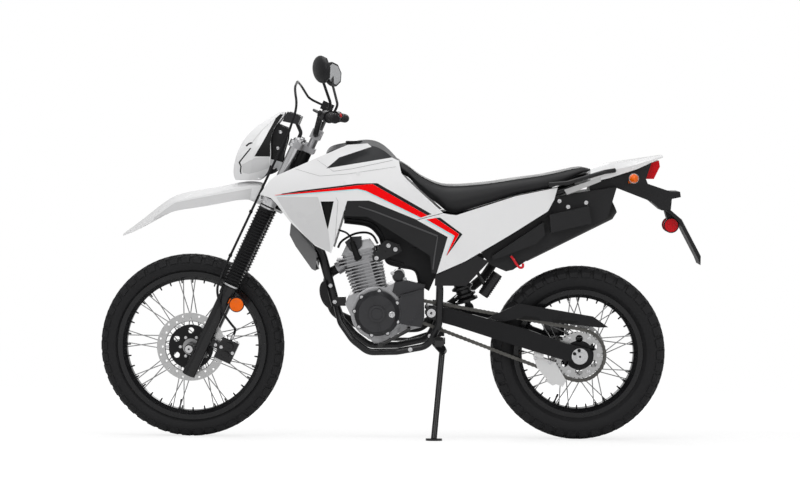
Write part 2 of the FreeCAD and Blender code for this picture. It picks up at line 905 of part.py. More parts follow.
def front_caliper():
    """Two piston calliper on the left leg's lug, open over the disc."""
    side = S.front_disc_side
    body = block(66, 46, 84, (-86, side - 23, 6))
    body = cut(body, disc_space(S.front_disc_radius, side, FORK_OFFSET, 0.0))
    pistons = [round_bar(15.0, 12, (-56, side + 22, w), ACROSS) for w in (30, 66)]
    arm = block(34, 12, 26, (-30, side + 11, 38))
    reach = block(30, 20, 22, (-8, side + 11, 40))
    return node(cut(joined(body, arm, reach, *pistons), leg_space(-150)), "front_caliper", STEER)


def fork_reflectors():
    """Round amber side reflectors on a tab behind each leg."""
    w = 226.0
    tab = block(44, 4, 20, (S.clamp_offset - 58, S.leg_spread + 12, w - 10))
    lens = round_bar(26.0, 9, (S.clamp_offset - 52, S.leg_spread + 16, w), ACROSS)
    return node(both_sides(cut(joined(tab, lens), leg_space(0))), "fork_reflectors", STEER)


FENDER_WALL = 3.5
# Front fender, rear to tip: place forward and up, half width, rise of the ridge, drop of the edge.
FENDER_STATIONS = (
    (462, 952, 66, 8, 62),
    (560, 941, 70, 17, 46),
    (690, 912, 72, 20, 42),
    (790, 886, 68, 22, 34),
    (870, 836, 54, 18, 22),
    (940, 788, 34, 11, 12),
    (986, 760, 10, 5, 3),
)


def arch_section(x, z, half, rise, drop):
    """Fender section across the machine: a ridge, two shoulders and turned down edges, of one wall."""
    wall = FENDER_WALL * min(1.0, half / 16.7)
    outer = [(-half, -drop), (-half * 0.93, 0.0), (-half * 0.45, rise * 0.55), (0.0, rise),
             (half * 0.45, rise * 0.55), (half * 0.93, 0.0), (half, -drop)]
    inner = [(half - wall, -drop), (half * 0.93 - wall, -wall), (half * 0.45, rise * 0.55 - wall),
             (0.0, rise - wall), (-half * 0.45, rise * 0.55 - wall), (-half * 0.93 + wall, -wall),
             (-half + wall, -drop)]
    return [(x, y, z + v) for y, v in outer + inner]


def front_fender():
    """High front fender with its pointed tip, and the pads that meet the lower clamp."""
    blade = loft([arch_section(*station) for station in FENDER_STATIONS])
    level = S.lower_clamp_base - S.seat_gap - 9
    pads = [block(90, 56, 9, (-20, -28, level)), block(52, 130, 9, (62, -65, level))]
    return node(joined(moved(blade, HEAD_MOVE), *[moved(flat, STEER) for flat in pads]), "front_fender")


def cowl_section(z, front, rear, half_front, half_rear):
    """Level section of the headlight mask."""
    mid = (front + rear) / 2
    mid_half = (half_front + half_rear) / 2 + 8
    return z, [(front, -half_front), (mid, -mid_half), (rear, -half_rear), (rear, half_rear), (mid, mid_half),
               (front, half_front)]


def cowl_hollow():
    """Space inside the mask, open at the back."""
    return lofted("XY_Plane", [
        cowl_section(1230, 380, 330, 30, 36),
        cowl_section(1165, 478, 330, 42, 63),
        cowl_section(1110, 524, 330, 55, 79),
        cowl_section(1056, 546, 330, 59, 79),
        cowl_section(1000, 557, 330, 47, 57),
        cowl_section(974, 550, 330, 29, 35),
    ])


def headlight_cowl():
    """White mask round the lamp, with its flat screen on top and the lamp's window."""
    outer = lofted("XY_Plane", [
        cowl_section(1224, 398, 376, 34, 40),
        cowl_section(1165, 486, 412, 48, 68),
        cowl_section(1110, 533, 425, 60, 84),
        cowl_section(1056, 556, 425, 64, 84),
        cowl_section(1000, 566, 440, 52, 62),
        cowl_section(970, 560, 470, 34, 40),
    ])
    window = prism([(600, 1090), (500, 1118), (500, 1004), (600, 1004)], -44, 44)
    return node(moved(cut(outer, cowl_hollow(), window), HEAD_MOVE), "headlight_cowl")


def headlamp():
    """Lens and bowl of the lamp behind the mask's window, on stays from the fork tubes."""
    face = loft([
        [(536, -41, 1008), (536, 41, 1008), (500, 34, 1012), (500, -34, 1012)],
        [(524, -41, 1104), (524, 41, 1104), (490, 34, 1098), (490, -34, 1098)],
    ], True)
    bowl = taper(40, 26, 64, (498, 0, 1055), (-1, 0, 0))
    bar = common(block(16, 240, 12, (456, -120, 1046)), cowl_hollow())
    stay = prism([(376, 1004), (362, 1034), (462, 1060), (462, 1044)], 70, 76)
    shoe = prism([(376, 1004), (362, 1034), (392, 1042), (402, 1012)], 70, 84)
    lamp = moved(joined(face, bowl, bar, stay, mirrored(stay), shoe, mirrored(shoe)), HEAD_MOVE)
    tube = moved(round_bar(S.tube_radius + S.seat_gap, 900, (S.clamp_offset, S.leg_spread, 0)), STEER)
    return node(cut(lamp, both_sides(tube)), "headlamp")


def instrument():
    """Flat meter housing on its stay above the upper clamp."""
    housing = loft([
        [(384, -62, 1190), (384, 62, 1190), (326, 56, 1178), (326, -56, 1178)],
        [(364, -66, 1226), (364, 66, 1226), (314, 60, 1208), (314, -60, 1208)],
    ], True)
    clamp_top = S.upper_clamp_base + S.upper_clamp_height - 4 + S.seat_gap
    stay = bent_tube([(43, 0, clamp_top), (43, 0, clamp_top + 34), (84, 0, clamp_top + 70)], 7.0, 20)
    return node(joined(moved(housing, HEAD_MOVE), moved(stay, STEER)), "instrument")


def left_controls():
    """Switch housing, perch and lever round the bar inside the left grip."""
    start = GRIP_SHARE + 8
    forward = Vector(1, 0, 0)
    root = on_bar(start + 48) + forward * 22
    mount = rod(on_bar(start + 50) + forward * 10, root + forward * 6, 11)
    tip = on_bar(0) + forward * 62 + Vector(0, -6, -4)
    lever = bent_tube([root + forward * 4, root + forward * 34 - BAR_INWARD * 34, tip], 5.0, 30)
    return joined(sleeve(start, 34, 21), sleeve(start + 34, 29, 16), cut(mount, bar_room()), lever)


def bar_controls():
    """Controls of both sides, with the brake fluid reservoir at the right."""
    left = left_controls()
    place = on_bar(GRIP_SHARE + 64)
    reservoir = block(46, 34, 34, (place.x + 8, -place.y - 22, place.z + 6))
    right = cut(joined(mirrored(left), reservoir), mirrored(bar_room()))
    return node(grouped(left, right), "bar_controls", STEER)


def mirrors():
    """Oval mirrors on bent stems from each perch."""
    foot = on_bar(GRIP_SHARE + 56) + Vector(0, 0, 16.6)
    head = foot + Vector(76, 118, 128)
    stem = bent_tube([foot, foot + Vector(0, 0, 30), foot + Vector(52, 70, 88), head], 5.0, 40)
    ball = Part.makeSphere(1.0)
    stretch = FreeCAD.Matrix()
    stretch.scale(Vector(22, 58, 48))
    bowl = ball.transformGeometry(stretch).cut(Part.makeBox(80, 200, 200, Vector(-88, -100, -100)))
    bowl.Placement = Placement(head, Rotation(UP, 32).multiply(Rotation(ACROSS, S.rake)))
    return node(both_sides(joined(stem, shaped(bowl))), "mirrors", STEER)


def front_hose():
    """Brake hose from the right lever's cylinder over the clamps and down the left leg."""
    points = [
        (32.0, -254, 1022), (86, -254, 1022), (130, -160, 1056), (140, -40, 1066), (132, 60, 1040),
        (92, 100, 985), (80, 100, 890), (82, 101, 330), (76, 124, 250),
        (26, 138, 185), (-30, 112, 150), (-52, 62, 132), (-52, 62, 90.3),
    ]
    return node(grouped(bent_tube(points, 4.5, 90)), "front_hose", STEER)


fork_legs()
fork_boots()
fork_tubes()
lower_clamp()
upper_clamp()
handlebar()
grips()
front_axle()
front_caliper()
fork_reflectors()
front_fender()
headlight_cowl()
headlamp()
instrument()
bar_controls()
mirrors()
front_hose()


# tank shape, which the frame carries


def section(bottom, top, low, wide, crown):
    """Section across the machine for the tank and seat: flat below, rounded over the top."""
    deep = top - bottom
    return [
        (-low, bottom), (-wide, bottom + 0.45 * deep), (-crown, top - 0.10 * deep), (0, top),
        (crown, top - 0.10 * deep), (wide, bottom + 0.45 * deep), (low, bottom),
    ]


def tank_shape():
    """Steel tank that straddles the backbone, filled solid."""
    return lofted("YZ_Plane", [
        (226, section(975, 1066, 50, 66, 36)),
        (195, section(935, 1102, 88, 98, 56)),
        (120, section(918, 1118, 100, 112, 66)),
        (40, section(918, 1119, 96, 108, 62)),
        (-20, section(918, 1078, 84, 92, 52)),
        (-44, section(920, 1052, 70, 76, 44)),
    ])


# frame


def head_point(along):
    """Point on the steering axis in the upright machine."""
    return STEER.multVec(Vector(0, 0, along))


HEAD_AXIS = STEER.Rotation.multVec(UP)
HEAD_BASE = S.lower_clamp_base + S.lower_clamp_height + 1.0
HEAD_TOP = S.upper_clamp_base - 1.0
STAND_PIVOT = Vector(S.stand_pivot_x, S.stand_pivot_y, S.stand_pivot_z)
STAND_FOOT = Vector(
    S.stand_foot_x,
    S.stand_foot_y,
    S.stand_foot_y * math.tan(math.radians(S.lean_angle)) - CROWN_LIFT / math.cos(math.radians(S.lean_angle)),
)
STAND_BACK = Vector(-0.985, 0.17, 0.03)
STAND_AXIS = (STAND_FOOT - STAND_PIVOT).cross(STAND_BACK).normalize()


def stand_place():
    """Frame of the stand's pivot: Z along the pin, X up and forward, away from the leg's sweep."""
    away = (STAND_PIVOT - STAND_FOOT).normalize() - Vector(STAND_BACK).normalize()
    return Placement(STAND_PIVOT, Rotation(away, Vector(), STAND_AXIS, "ZXY"))


def stand_bracket():
    """Fork of two plates with the pin of the side stand between them."""
    half = S.stand_eye_width / 2 + S.stand_side_gap
    pieces = [round_bar(S.stand_pin_radius, 2 * half + 8, (0, 0, -half - 4))]
    for low in (-half - 5, half):
        pieces.append(round_bar(15, 5, (0, 0, low)))
        pieces.append(block(40, 30, 5, (0, -15, low)))
    pieces.append(block(16, 30, 2 * half + 10, (24, -15, -half - 5)))
    return moved(joined(*pieces), stand_place())


def on_swingarm(share, rise):
    """(x, z) at a share of the way from the pivot to the rear axle, raised above the line between them."""
    x = PIVOT_X + share * (REAR_X - PIVOT_X)
    z = S.pivot_height + share * (S.rear_tyre_radius - S.pivot_height)
    return x, z + rise


SHOCK_TOP = Vector(-214, 0, 790)
SHOCK_SHARE = 0.259
SHOCK_FOOT = Vector(on_swingarm(SHOCK_SHARE, 50)[0], 0, on_swingarm(SHOCK_SHARE, 50)[1])
SHOCK_EYE = 13.0
SHOCK_PIN = 6.0


def shock_mount(end, toward, width):
    """Two plates and a pin that carry one eye of the shock, reaching toward the piece they are welded to."""
    inner = SHOCK_EYE + S.seat_gap
    reach = toward - end
    pieces = [round_bar(SHOCK_PIN, 2 * inner + 12, end - ACROSS * (inner + 6), ACROSS)]
    for low in (-inner - 5, inner):
        pieces.append(round_bar(17, 5, end + ACROSS * low, ACROSS))
        arm = block(reach.Length, 5, width, (0, low, -width / 2))
        pieces.append(moved(arm, Placement(end, Rotation(reach, ACROSS, Vector(), "XYZ"))))
    return pieces


def rear_rail(grow=0.0):
    """Left seat rail from the cross tube to the tail; grow gives the room that a seated piece leaves round it."""
    points = [(-150, 90, 842), (-300, 99, 844), (-479, 98, 900), (-640, 92, 936), (-715, 86, 958)]
    return bent_tube(points, S.rear_tube_radius + grow, 120)


def down_tube(grow=0.0):
    """Down tube from the head to the front of the cradle; grow gives the room round it."""
    points = [head_point(HEAD_BASE + 54), Vector(238, 0, 690), Vector(186, 0, 500)]
    return bent_tube(points, S.down_tube_radius + grow, 200)


def frame_side():
    """Left half of the frame: cradle, seat rail, strut, pivot lug and peg bracket."""
    spread = S.cradle_spread
    cradle = bent_tube(
        [
            (-150, 100, 852), (-186, 116, 700), (-205, 118, 575), (-202, 118, 440), (-160, 108, 362),
            (-47, spread, 339), (60, spread, 336), (118, spread * 0.94, 380), (165, spread * 0.55, 440),
            (186, 0, 508),
        ],
        S.frame_tube_radius, 60,
    )
    strut = rod((-200, 117, 615), (-505, 97, 903), S.rear_tube_radius)
    lug = round_bar(22.0, 12, (PIVOT_X, 107, S.pivot_height), ACROSS)
    lug_web = block(26, 12, 50, (PIVOT_X - 32, 107, S.pivot_height - 25))
    peg_bracket = block(60, 22, 24, (-225, 106, 372))
    return joined(cradle, rear_rail(), strut, lug, lug_web, peg_bracket)


def frame():
    """Single down tube frame: head tube, backbone, cradle loops, pivot plates and rear rails."""
    head_tube = round_bar(S.head_tube_radius, HEAD_TOP - HEAD_BASE, head_point(HEAD_BASE), HEAD_AXIS)
    spine = bent_tube([head_point(HEAD_TOP - 45), Vector(215, 0, 893), Vector(-150, 0, 852)], 20.0, 120)
    cross = rod((-150, -104, 852), (-150, 104, 852), S.frame_tube_radius)
    left = frame_side()
    tank_room = moved(tank_shape(), Placement(Vector(0, 0, -S.seat_gap), Rotation()))
    saddle = cut(block(40, 70, 60, (60, -35, 872)), tank_room)
    hanger = block(40, 44, 34, (148 + S.seat_gap, -22, 500))
    mount = shock_mount(SHOCK_TOP, Vector(-158, 0, 850), 30)
    whole = joined(
        head_tube, down_tube(), spine, cross, left, mirrored(left), saddle, hanger, stand_bracket(), *mount
    )
    stem_bore = round_bar(S.stem_radius + S.seat_gap, 600, head_point(HEAD_BASE - 100), HEAD_AXIS)
    pivot_bore = round_bar(S.pivot_radius + S.seat_gap / 3, 400, (PIVOT_X, -200, S.pivot_height), ACROSS)
    return node(cut(whole, stem_bore, pivot_bore), "frame")


# rear running gear

BEAM_INNER = S.swingarm_spread - S.swingarm_tube / 2
BEAM_OUTER = S.swingarm_spread + S.swingarm_tube / 2


def swingarm():
    """Two box beams on the pivot tube, joined by a brace ahead of the wheel."""
    axle_z = S.rear_tyre_radius
    outline = [
        (PIVOT_X + 24, S.pivot_height + 4), (PIVOT_X + 8, S.pivot_height + 25), on_swingarm(0.121, 35),
        on_swingarm(0.654, 42), on_swingarm(0.90, 32), (REAR_X - 36, axle_z + 26), (REAR_X - 52, axle_z),
        (REAR_X - 36, axle_z - 26), on_swingarm(0.90, -32), on_swingarm(0.654, -32), on_swingarm(0.158, -25),
        (PIVOT_X + 8, S.pivot_height - 25), (PIVOT_X + 24, S.pivot_height - 4),
    ]
    beam = prism(outline, BEAM_INNER, BEAM_OUTER)
    reach = BEAM_INNER + 2
    tube = round_bar(20.0, 2 * reach, (PIVOT_X, -reach, S.pivot_height), ACROSS)
    corners = [on_swingarm(0.205, 17.6), on_swingarm(0.295, 18), on_swingarm(0.295, -12), on_swingarm(0.205, -14.4)]
    brace = prism(corners, -reach, reach)
    brace_x, brace_z = on_swingarm(0.245, 4)
    mount = shock_mount(SHOCK_FOOT, Vector(brace_x, 0, brace_z), 26)
    pivot_bore = round_bar(S.pivot_radius + S.seat_gap / 3, 400, (PIVOT_X, -200, S.pivot_height), ACROSS)
    axle_bore = round_bar(S.axle_radius + S.seat_gap / 3, 400, (REAR_X, -200, axle_z), ACROSS)
    whole = joined(beam, mirrored(beam), tube, brace, *mount)
    return node(cut(whole, pivot_bore, axle_bore), "swingarm")


def pivot_bolt():
    """Hollow bolt through the swingarm's pivot, with a head at each end."""
    half = 119.3
    bolt = round_bar(S.pivot_radius, 2 * half, (0, 0, -half))
    heads = [round_bar(16.0, 8.0, (0, 0, half)), round_bar(16.0, 8.0, (0, 0, -half - 8))]
    bore = round_bar(5.0, 4 * half, (0, 0, -2 * half))
    return node(cut(joined(bolt, *heads), bore), "pivot_bolt", turn_to_y(0, PIVOT_X, S.pivot_height))


def rear_axle():
    """Hollow axle, with the round chain adjusters outside the beams."""
    half = BEAM_OUTER + 6.0
    axle = round_bar(S.axle_radius, 2 * half + 12, (0, 0, -half - 6))
    cam = S.seat_gap - 6.0
    cams = [
        round_bar(30.0, -cam, (0, 0, half + cam)),
        round_bar(30.0, -cam, (0, 0, -half)),
        round_bar(15.0, 9, (0, 0, half)),
        round_bar(15.0, 9, (0, 0, -half - 9)),
    ]
    bore = round_bar(S.axle_bore_radius, 4 * half, (0, 0, -2 * half))
    return node(cut(joined(axle, *cams), bore), "rear_axle", turn_to_y(0, REAR_X, S.rear_tyre_radius))


def chain_guard():
    """Slanting guard over the upper run of the chain."""
    outline = [
        on_swingarm(0.377, 39), on_swingarm(0.592, 128), on_swingarm(1.089, 161), on_swingarm(1.192, 137.5),
        on_swingarm(1.127, 126), on_swingarm(0.592, 73), on_swingarm(0.471, 40),
    ]
    return node(prism(outline, S.swingarm_spread - 8.5, S.swingarm_spread - 4.5), "chain_guard")


def chain_guide():
    """Fin below the swingarm that keeps the lower run of the chain in line."""
    x = REAR_X
    z = S.rear_tyre_radius
    side = S.chain_line
    outline = [(x + 172, z + 2), (x + 89, z - 26), (x + 47, z - 95), (x + 60, z - 118), (x + 114, z - 98),
               (x + 156, z - 47)]
    bridge = [(x + 125, z - 96), (x + 85, z - 82), (x + 75, z - 104), (x + 97, z - 114)]
    tab = [(x + 169, z - 2), (x + 169, z + 16), (x + 133, z + 6), (x + 133, z - 12)]
    return node(
        joined(
            prism(outline, side + 8, side + 12),
            prism(outline, side - 12, side - 8),
            prism(bridge, side - 12, side + 12),
            prism(tab, side + 8, S.swingarm_spread),
        ),
        "chain_guide",
    )


def shock_spring(long):
    """Spring with its seats, as a ribbed turned body from eye to eye."""
    turns = 8
    step = (long * 0.78) / turns
    outline = [(0, 6), (12, 6), (12, long * 0.07), (43, long * 0.08), (43, long * 0.11)]
    for i in range(turns):
        base = long * 0.11 + i * step
        outline += [(29, base + 0.18 * step), (41, base + 0.38 * step), (41, base + 0.62 * step),
                    (29, base + 0.82 * step)]
    outline += [(43, long * 0.89), (43, long * 0.92), (12, long * 0.93), (12, long - 6), (0, long - 6)]
    return turned(outline)


def rear_shock():
    """Single shock with its spring, and the reservoir behind it."""
    run = SHOCK_FOOT - SHOCK_TOP
    spring = moved(shock_spring(run.Length), Placement(SHOCK_TOP, Rotation(UP, run)))
    behind = REAR_X + S.rear_tyre_radius
    reservoir = rod((behind - 23, 40, 628), (behind + 31, 40, 546), 20)
    link = bent_tube([Vector(behind + 17, 40, 568), Vector(behind + 57, 30, 640), SHOCK_TOP + run * 0.25], 6.0, 20)
    ends = (SHOCK_TOP, SHOCK_FOOT)
    eyes = [round_bar(15, 2 * SHOCK_EYE, end - ACROSS * SHOCK_EYE, ACROSS) for end in ends]
    bores = [round_bar(SHOCK_PIN + 0.1, 80, end - ACROSS * 40, ACROSS) for end in ends]
    return node(cut(joined(spring, reservoir, link, *eyes), *bores), "rear_shock")


frame()
swingarm()
pivot_bolt()
rear_axle()
chain_guard()
chain_guide()
rear_shock()


# engine


def air_box():
    """Air box and inner rear fender under the seat."""
    outline = [
        (-360, 699), (-420, 845), (-586, 905), (-704, 934), (-757, 941.5), (-855, 956), (-823, 843), (-570, 712),
        (-475, 646), (-449, 640), (-393, 663),
    ]
    return prism(outline, -82, 82)


ENGINE = Placement(Vector(S.crank_forward, 0, S.crank_height), Rotation(ACROSS, S.cylinder_lean))
BARREL_TOP = S.fin_start + S.fin_count * S.fin_pitch
PORT_LENGTH = 106.0
PORT_SIDE = -32.0
PORT_WAY = Vector(1, 0, -0.25).normalize()


def case_shape():
    """Crankcase halves: wide over the crank, narrow behind, where the chain runs."""
    front = prism(
        [(148, 514), (134, 545), (103, 556), (20, 564), (-37, 595), (-48, 590), (-48, 400), (22, 372), (59, 382),
         (100, 420), (121, 458)],
        -S.case_half_width, S.case_half_width,
    )
    rear = prism([(-40, 595), (-100, 590), (-146, 560), (-148, 455), (-134, 425), (-40, 400)], -56, 56)
    sump = prism([(-20, 402), (-10, 366), (40, 362), (60, 384)], -46, 46)
    return joined(front, rear, sump)


def rounded_block(length, width, height, spot, corner):
    """Box whose upright edges are rounded."""
    box = block(length, width, height, spot)
    made = doc.addObject("Part::Fillet", "rounded")
    made.Base = box
    made.Edges = [(edge, corner, corner) for edge in (1, 3, 5, 7)]
    return made


def barrel_and_head():
    """Finned barrel and head with its cover, in the cylinder's own frame."""
    low = 70.0
    corner = 16.0
    wide = S.fin_width
    pieces = [round_bar(S.barrel_radius + 6, BARREL_TOP - low, (0, 0, low))]
    for i in range(int(S.fin_count)):
        long = S.fin_length * (1.0 + 0.018 * i)
        spot = (-long / 2, -wide / 2, S.fin_start + i * S.fin_pitch)
        pieces.append(rounded_block(long, wide, S.fin_thickness, spot, corner))
    pieces.append(rounded_block(124, 108, 52, (-58, -54, BARREL_TOP - 4), 18))
    for i in range(3):
        spot = (-60, -64, BARREL_TOP + 6 + i * S.fin_pitch)
        pieces.append(rounded_block(152, 128, S.fin_thickness, spot, corner))
    base = BARREL_TOP + 44
    rim = BARREL_TOP + 78
    peak = BARREL_TOP + 92
    pieces.append(loft([
        [(-58, -54, base), (70, -54, base), (70, 54, base), (-58, 54, base)],
        [(-46, -44, rim), (30, -44, peak), (30, 44, peak), (-46, 44, rim)],
    ], True))
    pieces.append(block(30, 116, 150, (-30, -58, 68)))
    pieces.append(round_bar(24, PORT_LENGTH, (0, PORT_SIDE, BARREL_TOP + 22), PORT_WAY))
    return joined(*pieces)


def engine():
    """Crankcase and cylinder as two castings."""
    node(grouped(case_shape()), "crankcase")
    node(cut(moved(barrel_and_head(), ENGINE), case_shape()), "cylinder")


def starter_motor():
    """Starter lying across the crankcase, behind the barrel."""
    body = round_bar(22, 92, (-50, -40, 617.2), ACROSS)
    cap = round_bar(16, 8, (-50, 52, 617.2), ACROSS)
    terminal = round_bar(5, 14, (-50, 20, 634), (-0.4, 0, 1))
    return node(joined(body, cap, terminal), "starter_motor")


def intake():
    """Throttle body on the head's back, and the duct that passes left of the shock to the air box."""
    start = ENGINE.multVec(Vector(-60, 0, BARREL_TOP + 22))
    way = ENGINE.Rotation.multVec(Vector(-1, 0, 0))
    throttle = [
        round_bar(24, 30, start, way),
        round_bar(31, 46, start + way * 22, way),
        round_bar(27, 22, start + way * 66, way),
    ]
    spindle = round_bar(7, 76, start + way * 44 - ACROSS * 38, ACROSS)
    wheel = round_bar(21, 5, start + way * 44 + ACROSS * 33, ACROSS)
    duct = bent_tube(
        [start + way * 60, start + way * 104, Vector(-190, 73, 752), Vector(-290, 71, 758), Vector(-420, 56, 762)],
        21.0, 60,
    )
    return node(cut(joined(*throttle, spindle, wheel, duct), air_box()), "intake")


def generator_cover():
    """Stepped round cover with its ring and plug, at the left of the crank."""
    x = S.crank_forward - 6
    z = S.crank_height
    face = S.case_half_width
    depth = S.generator_depth
    return joined(
        round_bar(S.generator_radius, depth * 0.5, (x, face, z), ACROSS),
        taper(S.generator_radius - 3, S.generator_radius - 17, depth * 0.5, (x, face + depth * 0.5, z), ACROSS),
        round_bar(32, 5, (x, face + depth, z), ACROSS),
        round_bar(20, 3, (x, face + depth + 5, z), ACROSS),
    )


def sprocket_cover():
    """Cover over the drive sprocket, cut clear of the chain and of the generator cover."""
    outline = [(-52, 530), (-62, 552), (-146, 572), (-144, 545), (-146, 470), (-138, 430), (-95, 436), (-52, 444)]
    channel = Part.Face(chain_loop(S.chain_plate_height / 2 + S.running_gap)).extrude(Vector(0, 30, 0))
    channel.translate(Vector(0, S.chain_line - 14, 0))
    away = round_bar(S.generator_radius + 1, 60, (S.crank_forward - 6, 50, S.crank_height), ACROSS)
    return cut(prism(outline, 57, 97), shaped(channel), away)


def engine_covers():
    """Round generator cover at the left, clutch cover at the right, and the sprocket cover behind."""
    clutch = joined(
        round_bar(78, 24, (-2, -S.case_half_width, 480), -ACROSS),
        round_bar(46, 20, (64, -S.case_half_width, 462), -ACROSS),
    )
    return node(grouped(generator_cover(), clutch, sprocket_cover()), "engine_covers")


# body panels

SKIN_STATIONS = (540.0, 420.0, 300.0, 180.0, 60.0, -60.0, -180.0, -300.0, -420.0, -540.0, -660.0)
SKIN_HEIGHTS = (590.0, 680.0, 770.0, 860.0, 950.0, 1040.0, 1130.0)
SKIN_HALF_WIDTHS = (
    (126, 134, 144, 158, 162, 150, 130),
    (130, 139, 151, 164, 166, 148, 120),
    (134, 144, 156, 168, 168, 142, 108),
    (138, 147, 158, 167, 161, 130, 92),
    (139, 145, 152, 156, 148, 120, 84),
    (140, 142, 143, 143, 137, 116, 82),
    (141, 140, 137, 133, 128, 112, 82),
    (140, 137, 133, 128, 123, 112, 84),
    (137, 134, 131, 127, 123, 112, 86),
    (133, 130, 128, 124, 120, 110, 86),
    (129, 127, 124, 120, 116, 108, 86),
)
PANEL_WALL = 3.0
COVER_WALL = 4.0


def skin(rows, stations, heights):
    """Smooth side surface through half widths given at stations along and heights up."""
    grid = [[Vector(x, rows[i][j], z) for j, z in enumerate(heights)] for i, x in enumerate(stations)]
    surface = Part.BSplineSurface()
    surface.interpolate(grid)
    return surface.toShape()


def panel(outline, inset=0.0, thickness=PANEL_WALL):
    """Curved panel: the side surface moved in by inset, given a wall and cut to an (x, z) outline."""
    wall = skin(SKIN_HALF_WIDTHS, SKIN_STATIONS, SKIN_HEIGHTS).extrude(Vector(0, -thickness, 0))
    wall.translate(Vector(0, -inset, 0))
    return common(prism(outline, 0, 260), shaped(wall))


def clamp_space():
    """Room that the upper clamp sweeps as the fork turns."""
    reach = math.hypot(S.clamp_offset, S.leg_spread) + S.tube_radius + 9.0 + S.running_gap
    base = S.upper_clamp_base - S.running_gap
    return round_bar(reach, S.upper_clamp_height + 2 * S.running_gap, head_point(base), HEAD_AXIS)


def shroud():
    """White shroud beside the tank, with a finger along the tank's edge, a vent and two bosses."""
    outline = [
        (458, 923), (421, 975), (397, 993), (366, 1006), (256, 1055), (141, 1105), (67, 1111), (52, 1099),
        (170, 1059), (216, 1019), (-24, 1060), (-49, 1048), (-59, 1003), (-80, 979), (-213, 859), (-117, 833),
        (41, 897), (59, 903), (138, 902), (197, 708), (255, 735), (346, 822), (398, 891), (417, 910),
    ]
    vent = prism([(235, 899), (187, 900), (209, 795)], 0, 260)
    bosses = [rod((100, 60, 1000), (100, 142, 1000), 7), rod((150, 60, 965), (150, 155, 965), 7)]
    shell = cut(panel(outline), vent, clamp_space())
    return joined(shell, *[cut(boss, tank_shape()) for boss in bosses])


def side_panel():
    """White panel under the seat, on two bosses against the seat rail."""
    outline = [
        (-214, 857), (-236, 853), (-262, 850), (-478, 921), (-634, 954), (-622, 910), (-599, 867), (-459, 778),
        (-335, 704), (-296, 681), (-191, 634), (-231, 770), (-118, 831),
    ]
    bosses = [
        cut(rod((x, 100, z), (x, 123, z), 7), rear_rail(S.seat_gap)) for x, z in ((-310, 852), (-470, 897))
    ]
    return joined(panel(outline), *bosses)


def knee_covers():
    """Black covers between the shroud and the side panel, and below the side panel."""
    upper = [
        (138, 906), (150, 846), (65, 844), (23, 820), (-167, 700), (-173, 636), (-196, 636), (-238, 774),
        (-122, 838), (41, 903), (59, 909),
    ]
    lower = [(-186, 625), (-335, 702), (-384, 681), (-247, 532), (-214, 539), (-184, 572)]
    inset = PANEL_WALL + S.seat_gap
    boss = rod((-206, 131, 588), (-206, 135, 588), 7)
    low_cover = joined(panel(lower, inset, COVER_WALL), boss)
    return node(both_sides(grouped(panel(upper, inset, COVER_WALL), low_cover)), "knee_covers")


def seat():
    """Long seat, low behind the tank and rising to the tail, on four feet over the rails."""
    pan = lofted("YZ_Plane", [
        (-50, section(1000, 1049, 50, 62, 36)),
        (-85, section(984, 1026, 62, 76, 46)),
        (-130, section(938, 994, 76, 94, 60)),
        (-190, section(891, 967, 92, 110, 74)),
        (-250, section(857, 960, 104, 120, 86)),
        (-365, section(889, 968, 112, 130, 100)),
        (-479, section(925, 985, 110, 128, 98)),
        (-565, section(942, 997, 104, 122, 92)),
        (-636, section(960, 1011, 94, 112, 84)),
        (-715, section(1001, 1026, 78, 96, 72)),
        (-756, section(1014, 1023, 66, 80, 60)),
    ], True)
    room = rear_rail(S.seat_gap)
    feet = [cut(rod((x, y, z), (x, y, z + 34), 8), room) for x, y, z in ((-320, 98, 853), (-600, 93, 928))]
    return node(joined(pan, *feet, *[mirrored(foot) for foot in feet]), "seat")


def tail_cowl():
    """White cowl over the tail."""

    def tail_slice(x, bottom, top, half):
        middle = (bottom + top) / 2
        return x, [(-half, bottom), (-half, middle), (-half + 16, top), (half - 16, top), (half, middle),
                   (half, bottom)]

    slices = [
        tail_slice(-757, 972, 1022, 88), tail_slice(-830, 990, 1042, 82), tail_slice(-930, 1022, 1058, 66),
        tail_slice(-1028, 1066, 1074, 44),
    ]
    return node(lofted("YZ_Plane", slices, True), "tail_cowl")


def tyre_space():
    """Room that the rear tyre needs as it turns."""
    half = S.rear_tyre_width / 2 + S.tyre_room
    return round_bar(S.rear_tyre_radius + S.tyre_room, 2 * half, (REAR_X, -half, S.rear_tyre_radius), ACROSS)


def rear_fender():
    """Black rear fender that carries the lamp and the plate."""
    outline = [
        (-757, 971.7), (-830, 989.7), (-930, 1021.7), (-984, 1045), (-965, 985), (-972, 968), (-1059, 939),
        (-1092, 939), (-1095, 919), (-1062, 912), (-1059, 872), (-1026, 869), (-986, 902), (-866, 948),
        (-855, 956.5), (-757, 942),
    ]
    return node(cut(prism(outline, -58, 58), tyre_space()), "rear_fender")


def plate_holder():
    """Flap below the fender for the plate, with the arm that holds the side reflectors."""
    flap = prism(
        [(-1041, 870.0), (-1058, 871.5), (-1098, 838), (-1174, 700), (-1174, 666), (-1164, 690), (-1090, 828)],
        -52, 52,
    )
    arm = prism([(-1041, 869.8), (-1090, 845), (-1092, 800), (-1062, 800)], -20, 20)
    return node(joined(flap, arm), "plate_holder")


